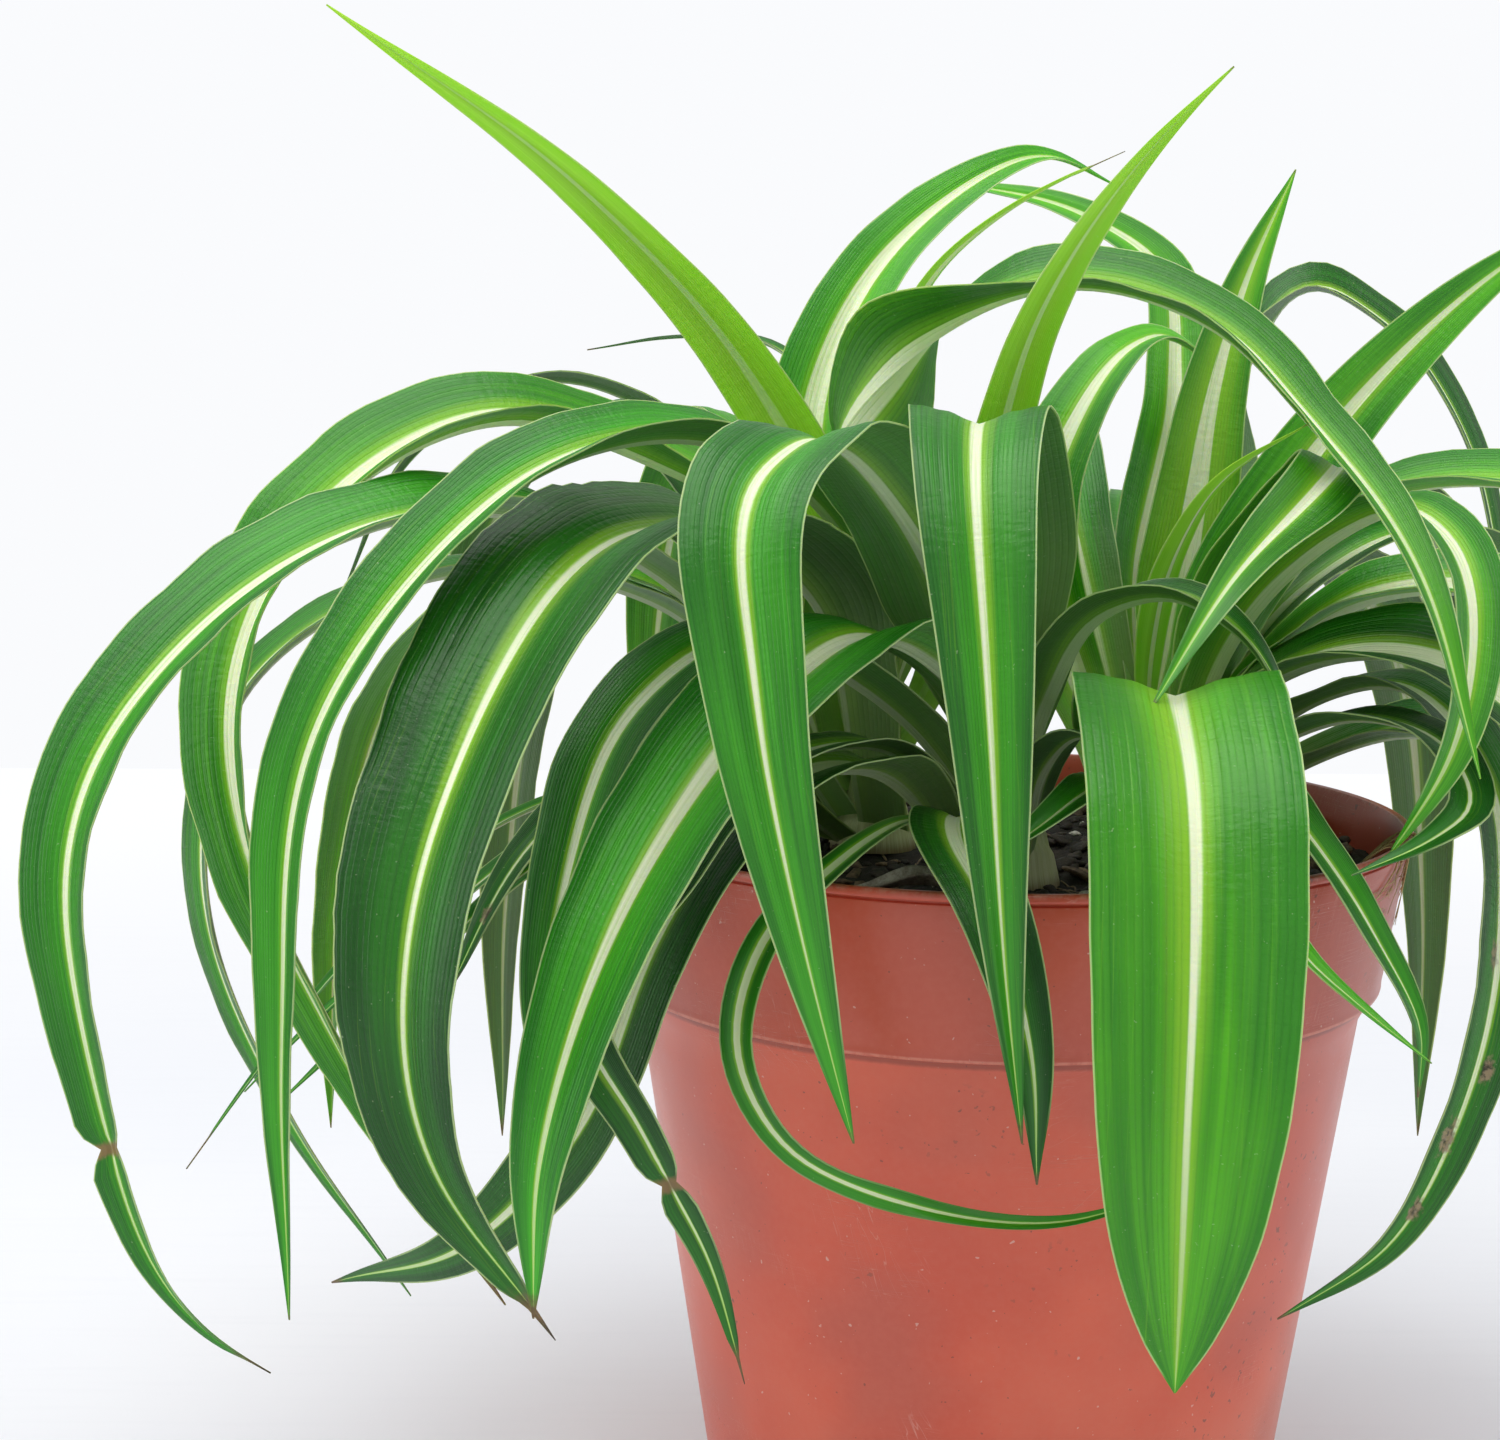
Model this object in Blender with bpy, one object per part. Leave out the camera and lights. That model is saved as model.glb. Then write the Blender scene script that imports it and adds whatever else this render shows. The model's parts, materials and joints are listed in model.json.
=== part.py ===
"""Potted spider plant: a plastic nursery pot, its soil, three crowns and their strap leaves.

The origin is the centre of the pot's base. +Z is up, -Y is the front of the plant.
Sizes in the constants are millimetres; the scene is in metres.
"""
import math
import random

import bmesh
import bpy
from mathutils import Matrix, Vector
from mathutils.bvhtree import BVHTree

MM = 0.001

# Pot: a standard 12 cm nursery pot.
POT_HEIGHT = 108.0
RIM_RADIUS = 60.0
COLLAR_HEIGHT = 23.0
COLLAR_FOOT_RADIUS = 56.1
BODY_TOP_RADIUS = 55.2
BASE_RADIUS = 43.0
WALL = 1.5
FLOOR_THICKNESS = 2.0
LIP_HEIGHT = 1.2
LIP_GROOVE = 0.35
POT_SEGMENTS = 72
HOLE_COUNT = 8
HOLE_RADIUS = 3.5
HOLE_RING_RADIUS = 31.0

# Soil: a plug with a slightly uneven top.
SOIL_LEVEL = 102.5
SOIL_RELIEF = 1.6
SOIL_SEGMENTS = 48
SOIL_RINGS = 7
GAP = 0.3

# Crowns: the short stems that carry the leaves, as (x, y) on the soil.
CROWNS = {"main": (22.0, 2.0), "left": (-18.0, 6.0), "front": (0.0, -22.0)}
CROWN_RADIUS = 6.6
CROWN_HEIGHT = 17.0
CROWN_SEGMENTS = 16
TIER_RISE = 3.0
TIER_STEP = 1.3
TIER_RADIUS = 8.2

# Leaves.
LEAF_THICKNESS = 0.8
LEAF_SECTIONS = 15
ROUTE_SAMPLES = 160
BASE_WIDTH_SHARE = 0.28
BASE_FOLD = 38.0
CLEARANCE = 0.25
NUDGE_SIZES = (1.5, 3.0, 4.5, 6.0, 8.0)
BASE_SWINGS = (0, 25, -25, 50, -50)


def clear_scene():
    for item in list(bpy.data.objects):
        bpy.data.objects.remove(item, do_unlink=True)


def make_material(name, colour, roughness, metallic=0.0):
    material = bpy.data.materials.new(name)
    material.use_nodes = True
    shader = material.node_tree.nodes["Principled BSDF"]
    shader.inputs["Base Color"].default_value = (*colour, 1.0)
    shader.inputs["Roughness"].default_value = roughness
    shader.inputs["Metallic"].default_value = metallic
    material.diffuse_color = (*colour, 1.0)
    return material


def add_object(name, points, faces, material, smooth=True):
    """Make a closed mesh object from points in millimetres."""
    mesh = bpy.data.meshes.new(name)
    mesh.from_pydata([Vector(p) * MM for p in points], [], faces)
    work = bmesh.new()
    work.from_mesh(mesh)
    bmesh.ops.recalc_face_normals(work, faces=work.faces)
    work.to_mesh(mesh)
    work.free()
    mesh.materials.append(material)
    for polygon in mesh.polygons:
        polygon.use_smooth = smooth
    thing = bpy.data.objects.new(name, mesh)
    bpy.context.collection.objects.link(thing)
    return thing


def lathe(profile, segments):
    """Revolve a profile that starts and ends on the axis; returns points and faces."""
    points = [(0.0, 0.0, profile[0][1])]
    for radius, height in profile[1:-1]:
        for step in range(segments):
            angle = 2 * math.pi * step / segments
            points.append((radius * math.cos(angle), radius * math.sin(angle), height))
    points.append((0.0, 0.0, profile[-1][1]))
    faces = []
    rings = len(profile) - 2
    for step in range(segments):
        after = (step + 1) % segments
        faces.append((0, 1 + after, 1 + step))
        for ring in range(rings - 1):
            low = 1 + ring * segments
            high = low + segments
            faces.append((low + step, low + after, high + after, high + step))
        last = 1 + (rings - 1) * segments
        faces.append((last + step, last + after, len(points) - 1))
    return points, faces


def pot_outside(height):
    """Outer radius of the pot at a height."""
    collar_foot = POT_HEIGHT - COLLAR_HEIGHT
    if height >= collar_foot:
        share = (height - collar_foot) / COLLAR_HEIGHT
        return COLLAR_FOOT_RADIUS + (RIM_RADIUS - COLLAR_FOOT_RADIUS) * share
    return BASE_RADIUS + (BODY_TOP_RADIUS - BASE_RADIUS) * height / collar_foot


def make_pot():
    collar_foot = POT_HEIGHT - COLLAR_HEIGHT
    lip_foot = POT_HEIGHT - LIP_HEIGHT
    profile = [
        (0.0, 0.0),
        (BASE_RADIUS - 1.2, 0.0),
        (BASE_RADIUS, 1.2),
        (BODY_TOP_RADIUS, collar_foot - 0.3),
        (COLLAR_FOOT_RADIUS, collar_foot),
        (COLLAR_FOOT_RADIUS + 0.15, collar_foot + 0.8),
        (pot_outside(lip_foot) - LIP_GROOVE, lip_foot),
        (RIM_RADIUS, lip_foot + 0.35),
        (RIM_RADIUS, POT_HEIGHT - 0.3),
        (RIM_RADIUS - 0.4, POT_HEIGHT),
        (RIM_RADIUS - WALL, POT_HEIGHT),
        (COLLAR_FOOT_RADIUS - WALL, collar_foot),
        (BODY_TOP_RADIUS - WALL, collar_foot - 1.5),
        (BASE_RADIUS - WALL, FLOOR_THICKNESS),
        (0.0, FLOOR_THICKNESS),
    ]
    points, faces = lathe(profile, POT_SEGMENTS)
    material = make_material("pot_plastic", (0.42, 0.10, 0.065), 0.42)
    pot = add_object("pot", points, faces, material)
    for index in range(HOLE_COUNT):
        angle = 2 * math.pi * (index + 0.5) / HOLE_COUNT
        bpy.ops.mesh.primitive_cylinder_add(
            vertices=16,
            radius=HOLE_RADIUS * MM,
            depth=4 * FLOOR_THICKNESS * MM,
            location=(
                HOLE_RING_RADIUS * math.cos(angle) * MM,
                HOLE_RING_RADIUS * math.sin(angle) * MM,
                FLOOR_THICKNESS / 2 * MM,
            ),
        )
        cutter = bpy.context.active_object
        cutter.name = f"cutter_drain_{index}"
        cutter.hide_render = True
        cutter.display_type = "WIRE"
        cut = pot.modifiers.new(f"drain_{index}", "BOOLEAN")
        cut.operation = "DIFFERENCE"
        cut.solver = "EXACT"
        cut.object = cutter
    return pot


def make_soil():
    """A plug that follows the pot's inner wall, with an uneven top."""
    inset = WALL + GAP
    collar_foot = POT_HEIGHT - COLLAR_HEIGHT
    edge_height = SOIL_LEVEL - SOIL_RELIEF
    side = [
        (0.0, FLOOR_THICKNESS + GAP),
        (BASE_RADIUS - inset - 0.1, FLOOR_THICKNESS + GAP),
        (BODY_TOP_RADIUS - inset - 0.1, collar_foot - 1.5),
        (COLLAR_FOOT_RADIUS - inset - 0.1, collar_foot + 0.3),
        (pot_outside(edge_height) - inset - 0.1, edge_height),
    ]
    noise = random.Random(7)
    tops = []
    for ring in range(SOIL_RINGS, 0, -1):
        tops.append((side[-1][0] * ring / (SOIL_RINGS + 1), SOIL_LEVEL - 0.3 * SOIL_RELIEF))
    points, faces = lathe(side + tops + [(0.0, SOIL_LEVEL - 0.4)], SOIL_SEGMENTS)
    first_top = 1 + SOIL_SEGMENTS * (len(side) - 1)
    for index in range(first_top, len(points) - 1):
        x, y, z = points[index]
        points[index] = (x, y, z - SOIL_RELIEF * 0.6 * noise.random())
    material = make_material("potting_soil", (0.018, 0.012, 0.008), 0.95)
    return add_object("soil", points, faces, material, smooth=False)


def make_crown(key):
    """A short pointed stem on the soil."""
    profile = [(0.0, 0.0)]
    for share in (0.0, 0.12, 0.35, 0.62, 0.86):
        radius = CROWN_RADIUS * (1 - share) ** 0.9
        profile.append((radius, CROWN_HEIGHT * share))
    profile.append((0.0, CROWN_HEIGHT))
    points, faces = lathe(profile, CROWN_SEGMENTS)
    x, y = CROWNS[key]
    lifted = [(p[0] + x, p[1] + y, p[2] + SOIL_LEVEL + GAP) for p in points]
    material = make_material(f"crown_{key}_flesh", (0.55, 0.62, 0.30), 0.6)
    return add_object(f"crown_{key}", lifted, faces, material)


def compass(degrees):
    """Horizontal unit vector; 0 is +X, 90 is +Y."""
    angle = math.radians(degrees)
    return Vector((math.cos(angle), math.sin(angle), 0.0))


def ease(share):
    share = min(max(share, 0.0), 1.0)
    return share * share * (3 - 2 * share)


def blend(values, share):
    """Interpolate smoothly through evenly spaced values."""
    place = min(max(share, 0.0), 1.0) * (len(values) - 1)
    index = min(int(place), len(values) - 2)
    return values[index] + (values[index + 1] - values[index]) * ease(place - index)


def even_route(knots, count=ROUTE_SAMPLES):
    """A smooth curve through the knots, resampled to evenly spaced points."""
    knots = [Vector(k) for k in knots]
    ends = [knots[0] * 2 - knots[1]] + knots + [knots[-1] * 2 - knots[-2]]
    dense = []
    for index in range(1, len(ends) - 2):
        p0, p1, p2, p3 = ends[index - 1:index + 3]
        span = max((p2 - p1).length, 1e-6)
        before = max((p1 - p0).length, 1e-6)
        beyond = max((p3 - p2).length, 1e-6)
        slope1 = ((p1 - p0) / before * span + (p2 - p1) / span * before) / (before + span) * span
        slope2 = ((p2 - p1) / span * beyond + (p3 - p2) / beyond * span) / (span + beyond) * span
        for step in range(40):
            t = step / 40
            dense.append(
                p1 * (2 * t**3 - 3 * t**2 + 1)
                + slope1 * (t**3 - 2 * t**2 + t)
                + p2 * (3 * t**2 - 2 * t**3)
                + slope2 * (t**3 - t**2)
            )
    dense.append(knots[-1])
    lengths = [0.0]
    for first, second in zip(dense, dense[1:]):
        lengths.append(lengths[-1] + (second - first).length)
    even = []
    spot = 0
    for index in range(count):
        target = lengths[-1] * index / (count - 1)
        while spot < len(dense) - 2 and lengths[spot + 1] < target:
            spot += 1
        share = (target - lengths[spot]) / max(lengths[spot + 1] - lengths[spot], 1e-9)
        even.append(dense[spot].lerp(dense[spot + 1], share))
    return even


def section_places(route, count=LEAF_SECTIONS):
    """Sample numbers for the sections, closer together where the leaf bends."""
    weights = [0.0]
    for index in range(1, len(route) - 1):
        before = (route[index] - route[index - 1]).normalized()
        after = (route[index + 1] - route[index]).normalized()
        weights.append(weights[-1] + 1.0 + 14.0 * before.angle(after, 0.0))
    weights.append(weights[-1] + 1.0)
    places = []
    spot = 0
    for index in range(count):
        target = weights[-1] * (index + 0.6) / (count + 0.2)
        while weights[spot] < target:
            spot += 1
        if not places or spot > places[-1]:
            places.append(spot)
    return places


def leaf_half_width(share, width, blunt, full):
    """Half the blade's width: a narrow sheath, a long even blade and a pointed tip."""
    sheath = BASE_WIDTH_SHARE + (1 - BASE_WIDTH_SHARE) * ease(share / full)
    return 0.5 * width * sheath * (1 - share**blunt) ** 0.95


def leaf_shape(route, width, face, roll, fold, blunt, full, grow=0.0):
    """Points and faces of a closed leaf blade along a route.

    Each section has four points: one margin, the midrib's upper side, the other margin and
    the midrib's underside. Both ends are single points.
    """
    points = [route[0]]
    faces = []
    for place in section_places(route):
        share = place / (len(route) - 1)
        along = (route[min(place + 2, len(route) - 1)] - route[max(place - 2, 0)]).normalized()
        outward = compass(blend(face, share))
        across = outward.cross(Vector((0, 0, 1)))
        across = (across - along * across.dot(along)).normalized()
        across = Matrix.Rotation(math.radians(blend(roll, share)), 3, along) @ across
        upper = across.cross(along)
        half = leaf_half_width(share, width, blunt, full) + grow
        tilt = math.radians(fold + (BASE_FOLD - fold) * (1 - ease(share / 0.25)))
        thick = LEAF_THICKNESS * (0.45 + 0.55 * math.sin(math.pi * min(share + 0.15, 1.0)))
        thick = thick / 2 + grow
        side = across * half * math.cos(tilt)
        rise = upper * half * math.sin(tilt)
        centre = route[place]
        points += [centre - side + rise, centre + upper * thick]
        points += [centre + side + rise, centre - upper * thick]
    points.append(route[-1])
    rings = (len(points) - 2) // 4
    for corner in range(4):
        after = (corner + 1) % 4
        faces.append((0, 1 + after, 1 + corner))
        for ring in range(rings - 1):
            low = 1 + 4 * ring
            high = low + 4
            if corner % 2 == 0:
                faces.append((low + corner, low + after, high + after))
                faces.append((low + corner, high + after, high + corner))
            else:
                faces.append((low + corner, low + after, high + corner))
                faces.append((low + after, high + after, high + corner))
        last = 1 + 4 * (rings - 1)
        faces.append((last + corner, last + after, len(points) - 1))
    return points, faces


# The leaves that stand out, one entry each. A route is a short list of points in millimetres
# from above the crown to the tip. "face" is the compass direction that the leaf leans
# towards, from base to tip, and "roll" turns the blade about its own length.
LEAVES = {
    "left_far_arch": dict(
        crown="left", tier=1, width=22, face=(205, 226, 236), roll=(-14, -8, 0), fold=26,
        tone="mature",
        route=[(-50, -10, 143), (-73, -26, 153), (-102, -50, 143), (-118, -67, 119),
               (-115, -74, 88), (-103, -76, 58), (-95, -74, 51)],
    ),
    "left_high_arch": dict(
        crown="left", tier=3, width=24, face=(190, 210, 225), roll=(-18, -14, 0), fold=32,
        tone="light",
        route=[(-30, 6, 144), (-52, -1, 158), (-72, -10, 164), (-93, -20, 154), (-104, -30, 136),
               (-104, -40, 117), (-92, -46, 88), (-69, -46, 49)],
    ),
    "left_low_hang": dict(
        crown="left", tier=0, width=17, face=(180, 205, 225), tone="mature",
        route=[(-48, 8, 136), (-84, -2, 142), (-108, -14, 127), (-113, -21, 100), (-105, -23, 75),
               (-85, -22, 41)],
    ),
    "left_slender": dict(
        crown="left", tier=2, width=18, face=(212, 226, 238), roll=(-14, -8, 0), fold=32,
        tone="mature",
        route=[(-24, -22, 149), (-42, -43, 163), (-60, -58, 161), (-77, -70, 147), (-88, -80, 127),
               (-90, -85, 103), (-91, -82, 61)],
    ),
    "left_broad": dict(
        crown="left", tier=1, width=33, face=(208, 232, 256), roll=(-8, -4, 0), fold=19,
        full=0.3, tone="dark",
        route=[(-28, -20, 140), (-44, -45, 152), (-56, -64, 150), (-68, -82, 132), (-75, -93, 106),
               (-74, -92, 88), (-59, -88, 61)],
    ),
    "front_left_arch": dict(
        crown="front", tier=2, width=24, face=(230, 240, 250), full=0.3, tone="mature",
        route=[(-9, -40, 130), (-22, -54, 139), (-34, -67, 133), (-45, -80, 121), (-54, -91, 105),
               (-60, -96, 84), (-61, -94, 66)],
    ),
    "front_left_second": dict(
        crown="front", tier=2, width=18, face=(215, 230, 250), tone="mature",
        route=[(-12, -30, 124), (-24, -38, 135), (-38, -47, 141), (-51, -56, 133),
               (-59, -66, 113), (-61, -70, 94), (-56, -70, 78)],
    ),
    "front_left_sweep": dict(
        crown="front", tier=0, width=24, face=(225, 235, 210), roll=(0, 0, -50), blunt=1.35,
        full=0.25, tone="dark",
        route=[(-22, -40, 120), (-38, -56, 118), (-49, -70, 104), (-57, -74, 84), (-70, -67, 67),
               (-93, -45, 52)],
    ),
    "front_fold_left": dict(
        crown="front", tier=3, width=20.5, face=(255, 262, 268), fold=17, blunt=2.3, full=0.2,
        tone="mature",
        route=[(-15, -46, 150), (-31, -75, 164), (-37, -87, 158), (-36, -96, 138), (-30, -100, 108),
               (-25, -98, 88)],
    ),
    "front_fold_right": dict(
        crown="front", tier=4, width=26, face=(266, 268, 272), fold=17, blunt=1.3, full=0.2,
        tone="mature",
        route=[(-8, -37, 151), (-12, -60, 163), (-14, -78, 158), (-13, -90, 134), (-11, -93, 106),
               (-8, -90, 83)],
    ),
    "front_right_broad": dict(
        crown="main", tier=1, width=26, face=(280, 275, 270), fold=14, blunt=8.0, full=0.22,
        tone="light",
        route=[(20, -26, 120), (17, -52, 131), (14, -72, 133), (13, -87, 126), (12, -98, 106),
               (11, -102, 84), (11, -100, 60)],
    ),
    "front_short": dict(
        crown="front", tier=0, width=13, face=(250, 268, 280), tone="dark",
        route=[(-9, -42, 114), (-11, -60, 114), (-7, -71, 107), (-3, -76, 92), (-2, -76, 76)],
    ),
    "front_thin_loop": dict(
        crown="front", tier=0, width=5.5, face=(235, 250, 330), roll=(0, 0, 60), tone="mature",
        route=[(-14, -44, 119), (-27, -58, 114), (-36, -65, 104), (-38, -67, 93), (-33, -67, 81),
               (-18, -67, 72), (0, -71, 70), (18, -77, 77)],
    ),
    "front_left_hang": dict(
        crown="front", tier=1, width=12, face=(225, 240, 262), tone="dark",
        route=[(-20, -44, 124), (-37, -61, 122), (-48, -76, 110), (-56, -82, 100), (-49, -84, 85),
               (-41, -82, 68), (-37, -79, 52)],
    ),
    "top_left_spear": dict(
        crown="left", tier=5, width=13, face=(80, 86, 90), fold=20, blunt=1.7, full=0.3,
        tone="young",
        route=[(-20, 6, 136), (-29, 5, 158), (-41, 2, 177), (-61, -5, 198), (-95, -14, 222)],
    ),
    "top_right_spear": dict(
        crown="left", tier=4, width=12, face=(92, 94, 98), fold=18, blunt=1.7, full=0.3,
        tone="young",
        route=[(-8, -2, 134), (-4, -16, 156), (2, -28, 181), (17, -38, 204), (24, -42, 211)],
    ),
    "back_high_arch": dict(
        crown="left", tier=3, width=17, face=(65, 60, 50), roll=(0, 15, 35), fold=24,
        tone="light",
        route=[(-24, 18, 140), (-27, 24, 165), (-20, 30, 184), (-6, 38, 199), (11, 48, 207),
               (24, 56, 203)],
    ),
    "back_left_reach": dict(
        crown="main", tier=4, width=15, face=(110, 120, 130), roll=(0, -15, -40), fold=22,
        tone="light",
        route=[(24, 24, 140), (32, 45, 172), (31, 54, 189), (18, 62, 199), (-5, 68, 205)],
    ),
    "top_thin_spear": dict(
        crown="left", tier=5, width=6, face=(300, 310, 320), fold=26, blunt=1.5, tone="young",
        route=[(-16, 10, 136), (-17, 14, 166), (-9, 17, 187), (4, 20, 198), (20, 23, 206)],
    ),
    "top_main_arch": dict(
        crown="left", tier=4, width=23, face=(48, 350, 305), roll=(0, 20, 5), fold=28,
        blunt=2.0, full=0.3, tone="light",
        route=[(-24, 0, 136), (-25, -4, 161), (-12, -6, 176), (6, -9, 184), (24, -17, 180),
               (38, -32, 165), (47, -52, 148), (52, -66, 124)],
    ),
    "main_upright": dict(
        crown="main", tier=5, width=16, face=(86, 92, 85), fold=14, blunt=2.0, full=0.3,
        tone="light",
        route=[(27, 10, 134), (30, 13, 151), (33, 15, 170), (38, 17, 187), (45, 18, 203)],
    ),
    "right_spear": dict(
        crown="main", tier=4, width=15, face=(70, 76, 80), fold=16, full=0.3, tone="light",
        route=[(34, 7, 140), (48, 7, 163), (66, 4, 183), (84, 0, 197)],
    ),
    "back_right_arch": dict(
        crown="main", tier=3, width=15, face=(20, 350, 330), roll=(0, 25, 10), fold=22,
        tone="dark",
        route=[(33, 20, 140), (42, 38, 172), (54, 46, 186), (67, 48, 180), (79, 46, 164),
               (85, 41, 140), (87, 36, 110)],
    ),
    "right_curl": dict(
        crown="main", tier=2, width=18, face=(320, 315, 290), fold=24, tone="light",
        route=[(34, -10, 136), (43, -22, 149), (50, -34, 154), (54, -44, 149), (54, -52, 136),
               (50, -57, 124), (43, -59, 113)],
    ),
    "right_fold_back": dict(
        crown="main", tier=3, width=17, face=(290, 280, 262), roll=(0, -10, -10), blunt=1.6,
        full=0.25, tone="light",
        route=[(32, -8, 140), (39, -20, 154), (38, -33, 157),
               (28, -46, 150), (18, -62, 143), (8, -74, 131)],
    ),
    "right_rim_turn": dict(
        crown="main", tier=1, width=12, face=(330, 310, 250), tone="dark",
        route=[(36, -16, 121), (46, -30, 127), (53, -42, 125), (54, -52, 119), (46, -59, 115),
               (37, -62, 112)],
    ),
    "main_small_spear": dict(
        crown="main", tier=5, width=7, face=(290, 290, 290), blunt=1.6, tone="young",
        route=[(24, -8, 132), (25, -18, 147), (30, -28, 159), (39, -34, 166)],
    ),
    "centre_cup": dict(
        crown="front", tier=4, width=17, face=(310, 330, 330), fold=24, tone="dark",
        route=[(2, -26, 128), (8, -32, 140), (16, -38, 143), (25, -43, 138), (31, -46, 129)],
    ),
    "centre_fold": dict(
        crown="left", tier=5, width=12, face=(300, 300, 310), fold=26, full=0.3, tone="young",
        route=[(-17, -8, 136), (-18, -17, 156), (-15, -25, 161), (-8, -30, 159), (-2, -33, 151)],
    ),
    "centre_arch": dict(
        crown="main", tier=3, width=18, face=(60, 40, 20), roll=(0, 10, 25), fold=22,
        tone="light",
        route=[(8, 10, 154), (13, 14, 166), (20, 20, 175), (27, 27, 178), (38, 35, 173)],
    ),
    "inner_cross": dict(
        crown="front", tier=1, width=11, face=(300, 310, 315), tone="dark",
        route=[(3, -36, 120), (7, -46, 126), (12, -53, 123), (17, -57, 115)],
    ),
    "inner_front": dict(
        crown="main", tier=0, width=12, face=(265, 240, 215), tone="mature",
        route=[(14, -30, 116), (7, -48, 119), (-2, -58, 115), (-11, -61, 110)],
    ),
    "right_hang": dict(
        crown="main", tier=1, width=16, face=(335, 310, 285), tone="dark",
        route=[(40, -10, 124), (51, -24, 129), (59, -38, 118), (59, -46, 102), (53, -54, 78),
               (43, -58, 61), (29, -60, 52)],
    ),
    "right_rim_upper": dict(
        crown="main", tier=0, width=11, face=(320, 315, 300), tone="mature",
        route=[(30, -22, 116), (34, -46, 115), (43, -56, 101), (48, -59, 90), (48, -59, 82)],
    ),
    "right_rim_lower": dict(
        crown="main", tier=0, width=9, face=(300, 310, 330), tone="light",
        route=[(24, -24, 113), (27, -50, 112), (32, -61, 101), (40, -63, 94), (49, -61, 87)],
    ),
    "left_inner_arch": dict(
        crown="left", tier=2, width=15, face=(180, 185, 190), tone="dark",
        route=[(-30, 16, 144), (-46, 17, 164), (-65, 13, 171), (-86, 8, 160), (-98, 4, 138)],
    ),
    "back_left_thin": dict(
        crown="left", tier=4, width=7, face=(150, 145, 140), tone="dark",
        route=[(-22, 16, 142), (-27, 32, 168), (-36, 42, 177), (-50, 50, 178), (-64, 54, 176)],
    ),
    "left_under": dict(
        crown="left", tier=0, width=13, face=(215, 220, 225), tone="dark",
        route=[(-38, -16, 116), (-54, -34, 119), (-66, -46, 110), (-76, -52, 92)],
    ),
    "left_thin_upper": dict(
        crown="left", tier=0, width=6, face=(200, 215, 220), tone="mature",
        route=[(-38, -8, 112), (-62, -24, 110), (-80, -34, 98), (-97, -40, 84), (-104, -42, 77)],
    ),
    "left_thin_middle": dict(
        crown="left", tier=0, width=6, face=(210, 225, 230), tone="mature",
        route=[(-36, -12, 110), (-58, -26, 106), (-76, -34, 92), (-88, -38, 81), (-96, -41, 74)],
    ),
    "left_thin_lower": dict(
        crown="left", tier=0, width=5, face=(190, 205, 210), tone="mature",
        route=[(-42, -2, 112), (-70, -18, 110), (-92, -30, 92), (-105, -36, 76), (-113, -38, 65)],
    ),
    "right_stripe_upper": dict(
        crown="main", tier=2, width=19, face=(340, 325, 320), roll=(10, 20, 10), fold=28,
        tone="light",
        route=[(36, -7, 134), (48, -15, 143), (62, -24, 144), (78, -34, 132), (88, -41, 106),
               (89, -43, 84)],
    ),
    "right_stripe_lower": dict(
        crown="main", tier=1, width=22, face=(330, 315, 310), roll=(10, 20, 10), fold=28,
        tone="dark",
        route=[(33, -15, 127), (45, -27, 135), (57, -38, 134), (68, -49, 122), (75, -55, 100),
               (76, -56, 76)],
    ),
    "right_low": dict(
        crown="main", tier=0, width=20, face=(340, 330, 320), roll=(0, 15, 0), fold=24,
        tone="dark",
        route=[(44, -4, 115), (60, -12, 121), (76, -20, 112), (86, -26, 90), (86, -28, 60)],
    ),
    "right_wide": dict(
        crown="main", tier=3, width=20, face=(350, 335, 325), roll=(0, 15, 5), fold=24,
        tone="light",
        route=[(36, 2, 142), (52, 2, 158), (72, -4, 160), (94, -12, 144), (108, -20, 112),
               (110, -24, 78)],
    ),
}


# Arching leaves at the back: crown, tier, heading, reach, crest height and tip height.
BACK_ARCHES = (
    ("main", 1, 22, 92, 148, 44),
    ("main", 0, 50, 100, 142, 34),
    ("main", 1, 78, 104, 150, 52),
    ("left", 0, 102, 96, 140, 40),
    ("left", 1, 130, 100, 146, 32),
    ("left", 0, 158, 96, 140, 46),
    ("main", 2, 98, 84, 164, 84),
    ("main", 2, 36, 86, 160, 76),
    ("left", 2, 116, 84, 164, 88),
    ("left", 2, 136, 90, 166, 70),
)

TONES = {
    "young": (0.28, 0.50, 0.06),
    "light": (0.15, 0.38, 0.035),
    "mature": (0.055, 0.26, 0.025),
    "dark": (0.022, 0.15, 0.020),
}


def leaf_base(crown, tier, heading):
    """Where a leaf leaves its crown: outer tiers are low and wide, inner ones high and close."""
    x, y = CROWNS[crown]
    reach = TIER_RADIUS - TIER_STEP * tier
    height = SOIL_LEVEL + GAP + 0.8 + TIER_RISE * tier
    return Vector((x, y, height)) + compass(heading) * reach


def arch_route(crown, heading, reach, crest, tip):
    """An arching leaf: up and out of the crown, over a crest and down to a hanging tip."""
    x, y = CROWNS[crown]
    start = Vector((x, y, 0.0))
    outward = compass(heading)
    knots = [start + outward * reach * 0.24 + Vector((0, 0, SOIL_LEVEL + (crest - SOIL_LEVEL) * 0.72))]
    for out_share, height_share in ((0.54, 1.0), (0.82, 0.84), (0.98, 0.40), (1.0, 0.0)):
        height = tip + (crest - tip) * height_share
        knots.append(start + outward * reach * out_share + Vector((0, 0, height)))
    return knots


def nudges():
    """Small moves to try, nearest first, as (direction in millimetres, share at the tip)."""
    yield Vector((0, 0, 0)), 0.0
    directions = [Vector((x, y, z)) for x in (0, 1, -1) for y in (0, 1, -1) for z in (0, 1, -1)]
    for size in NUDGE_SIZES:
        for tip_share in (0.0, 0.8):
            for direction in directions[1:]:
                yield direction.normalized() * size, tip_share


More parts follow.
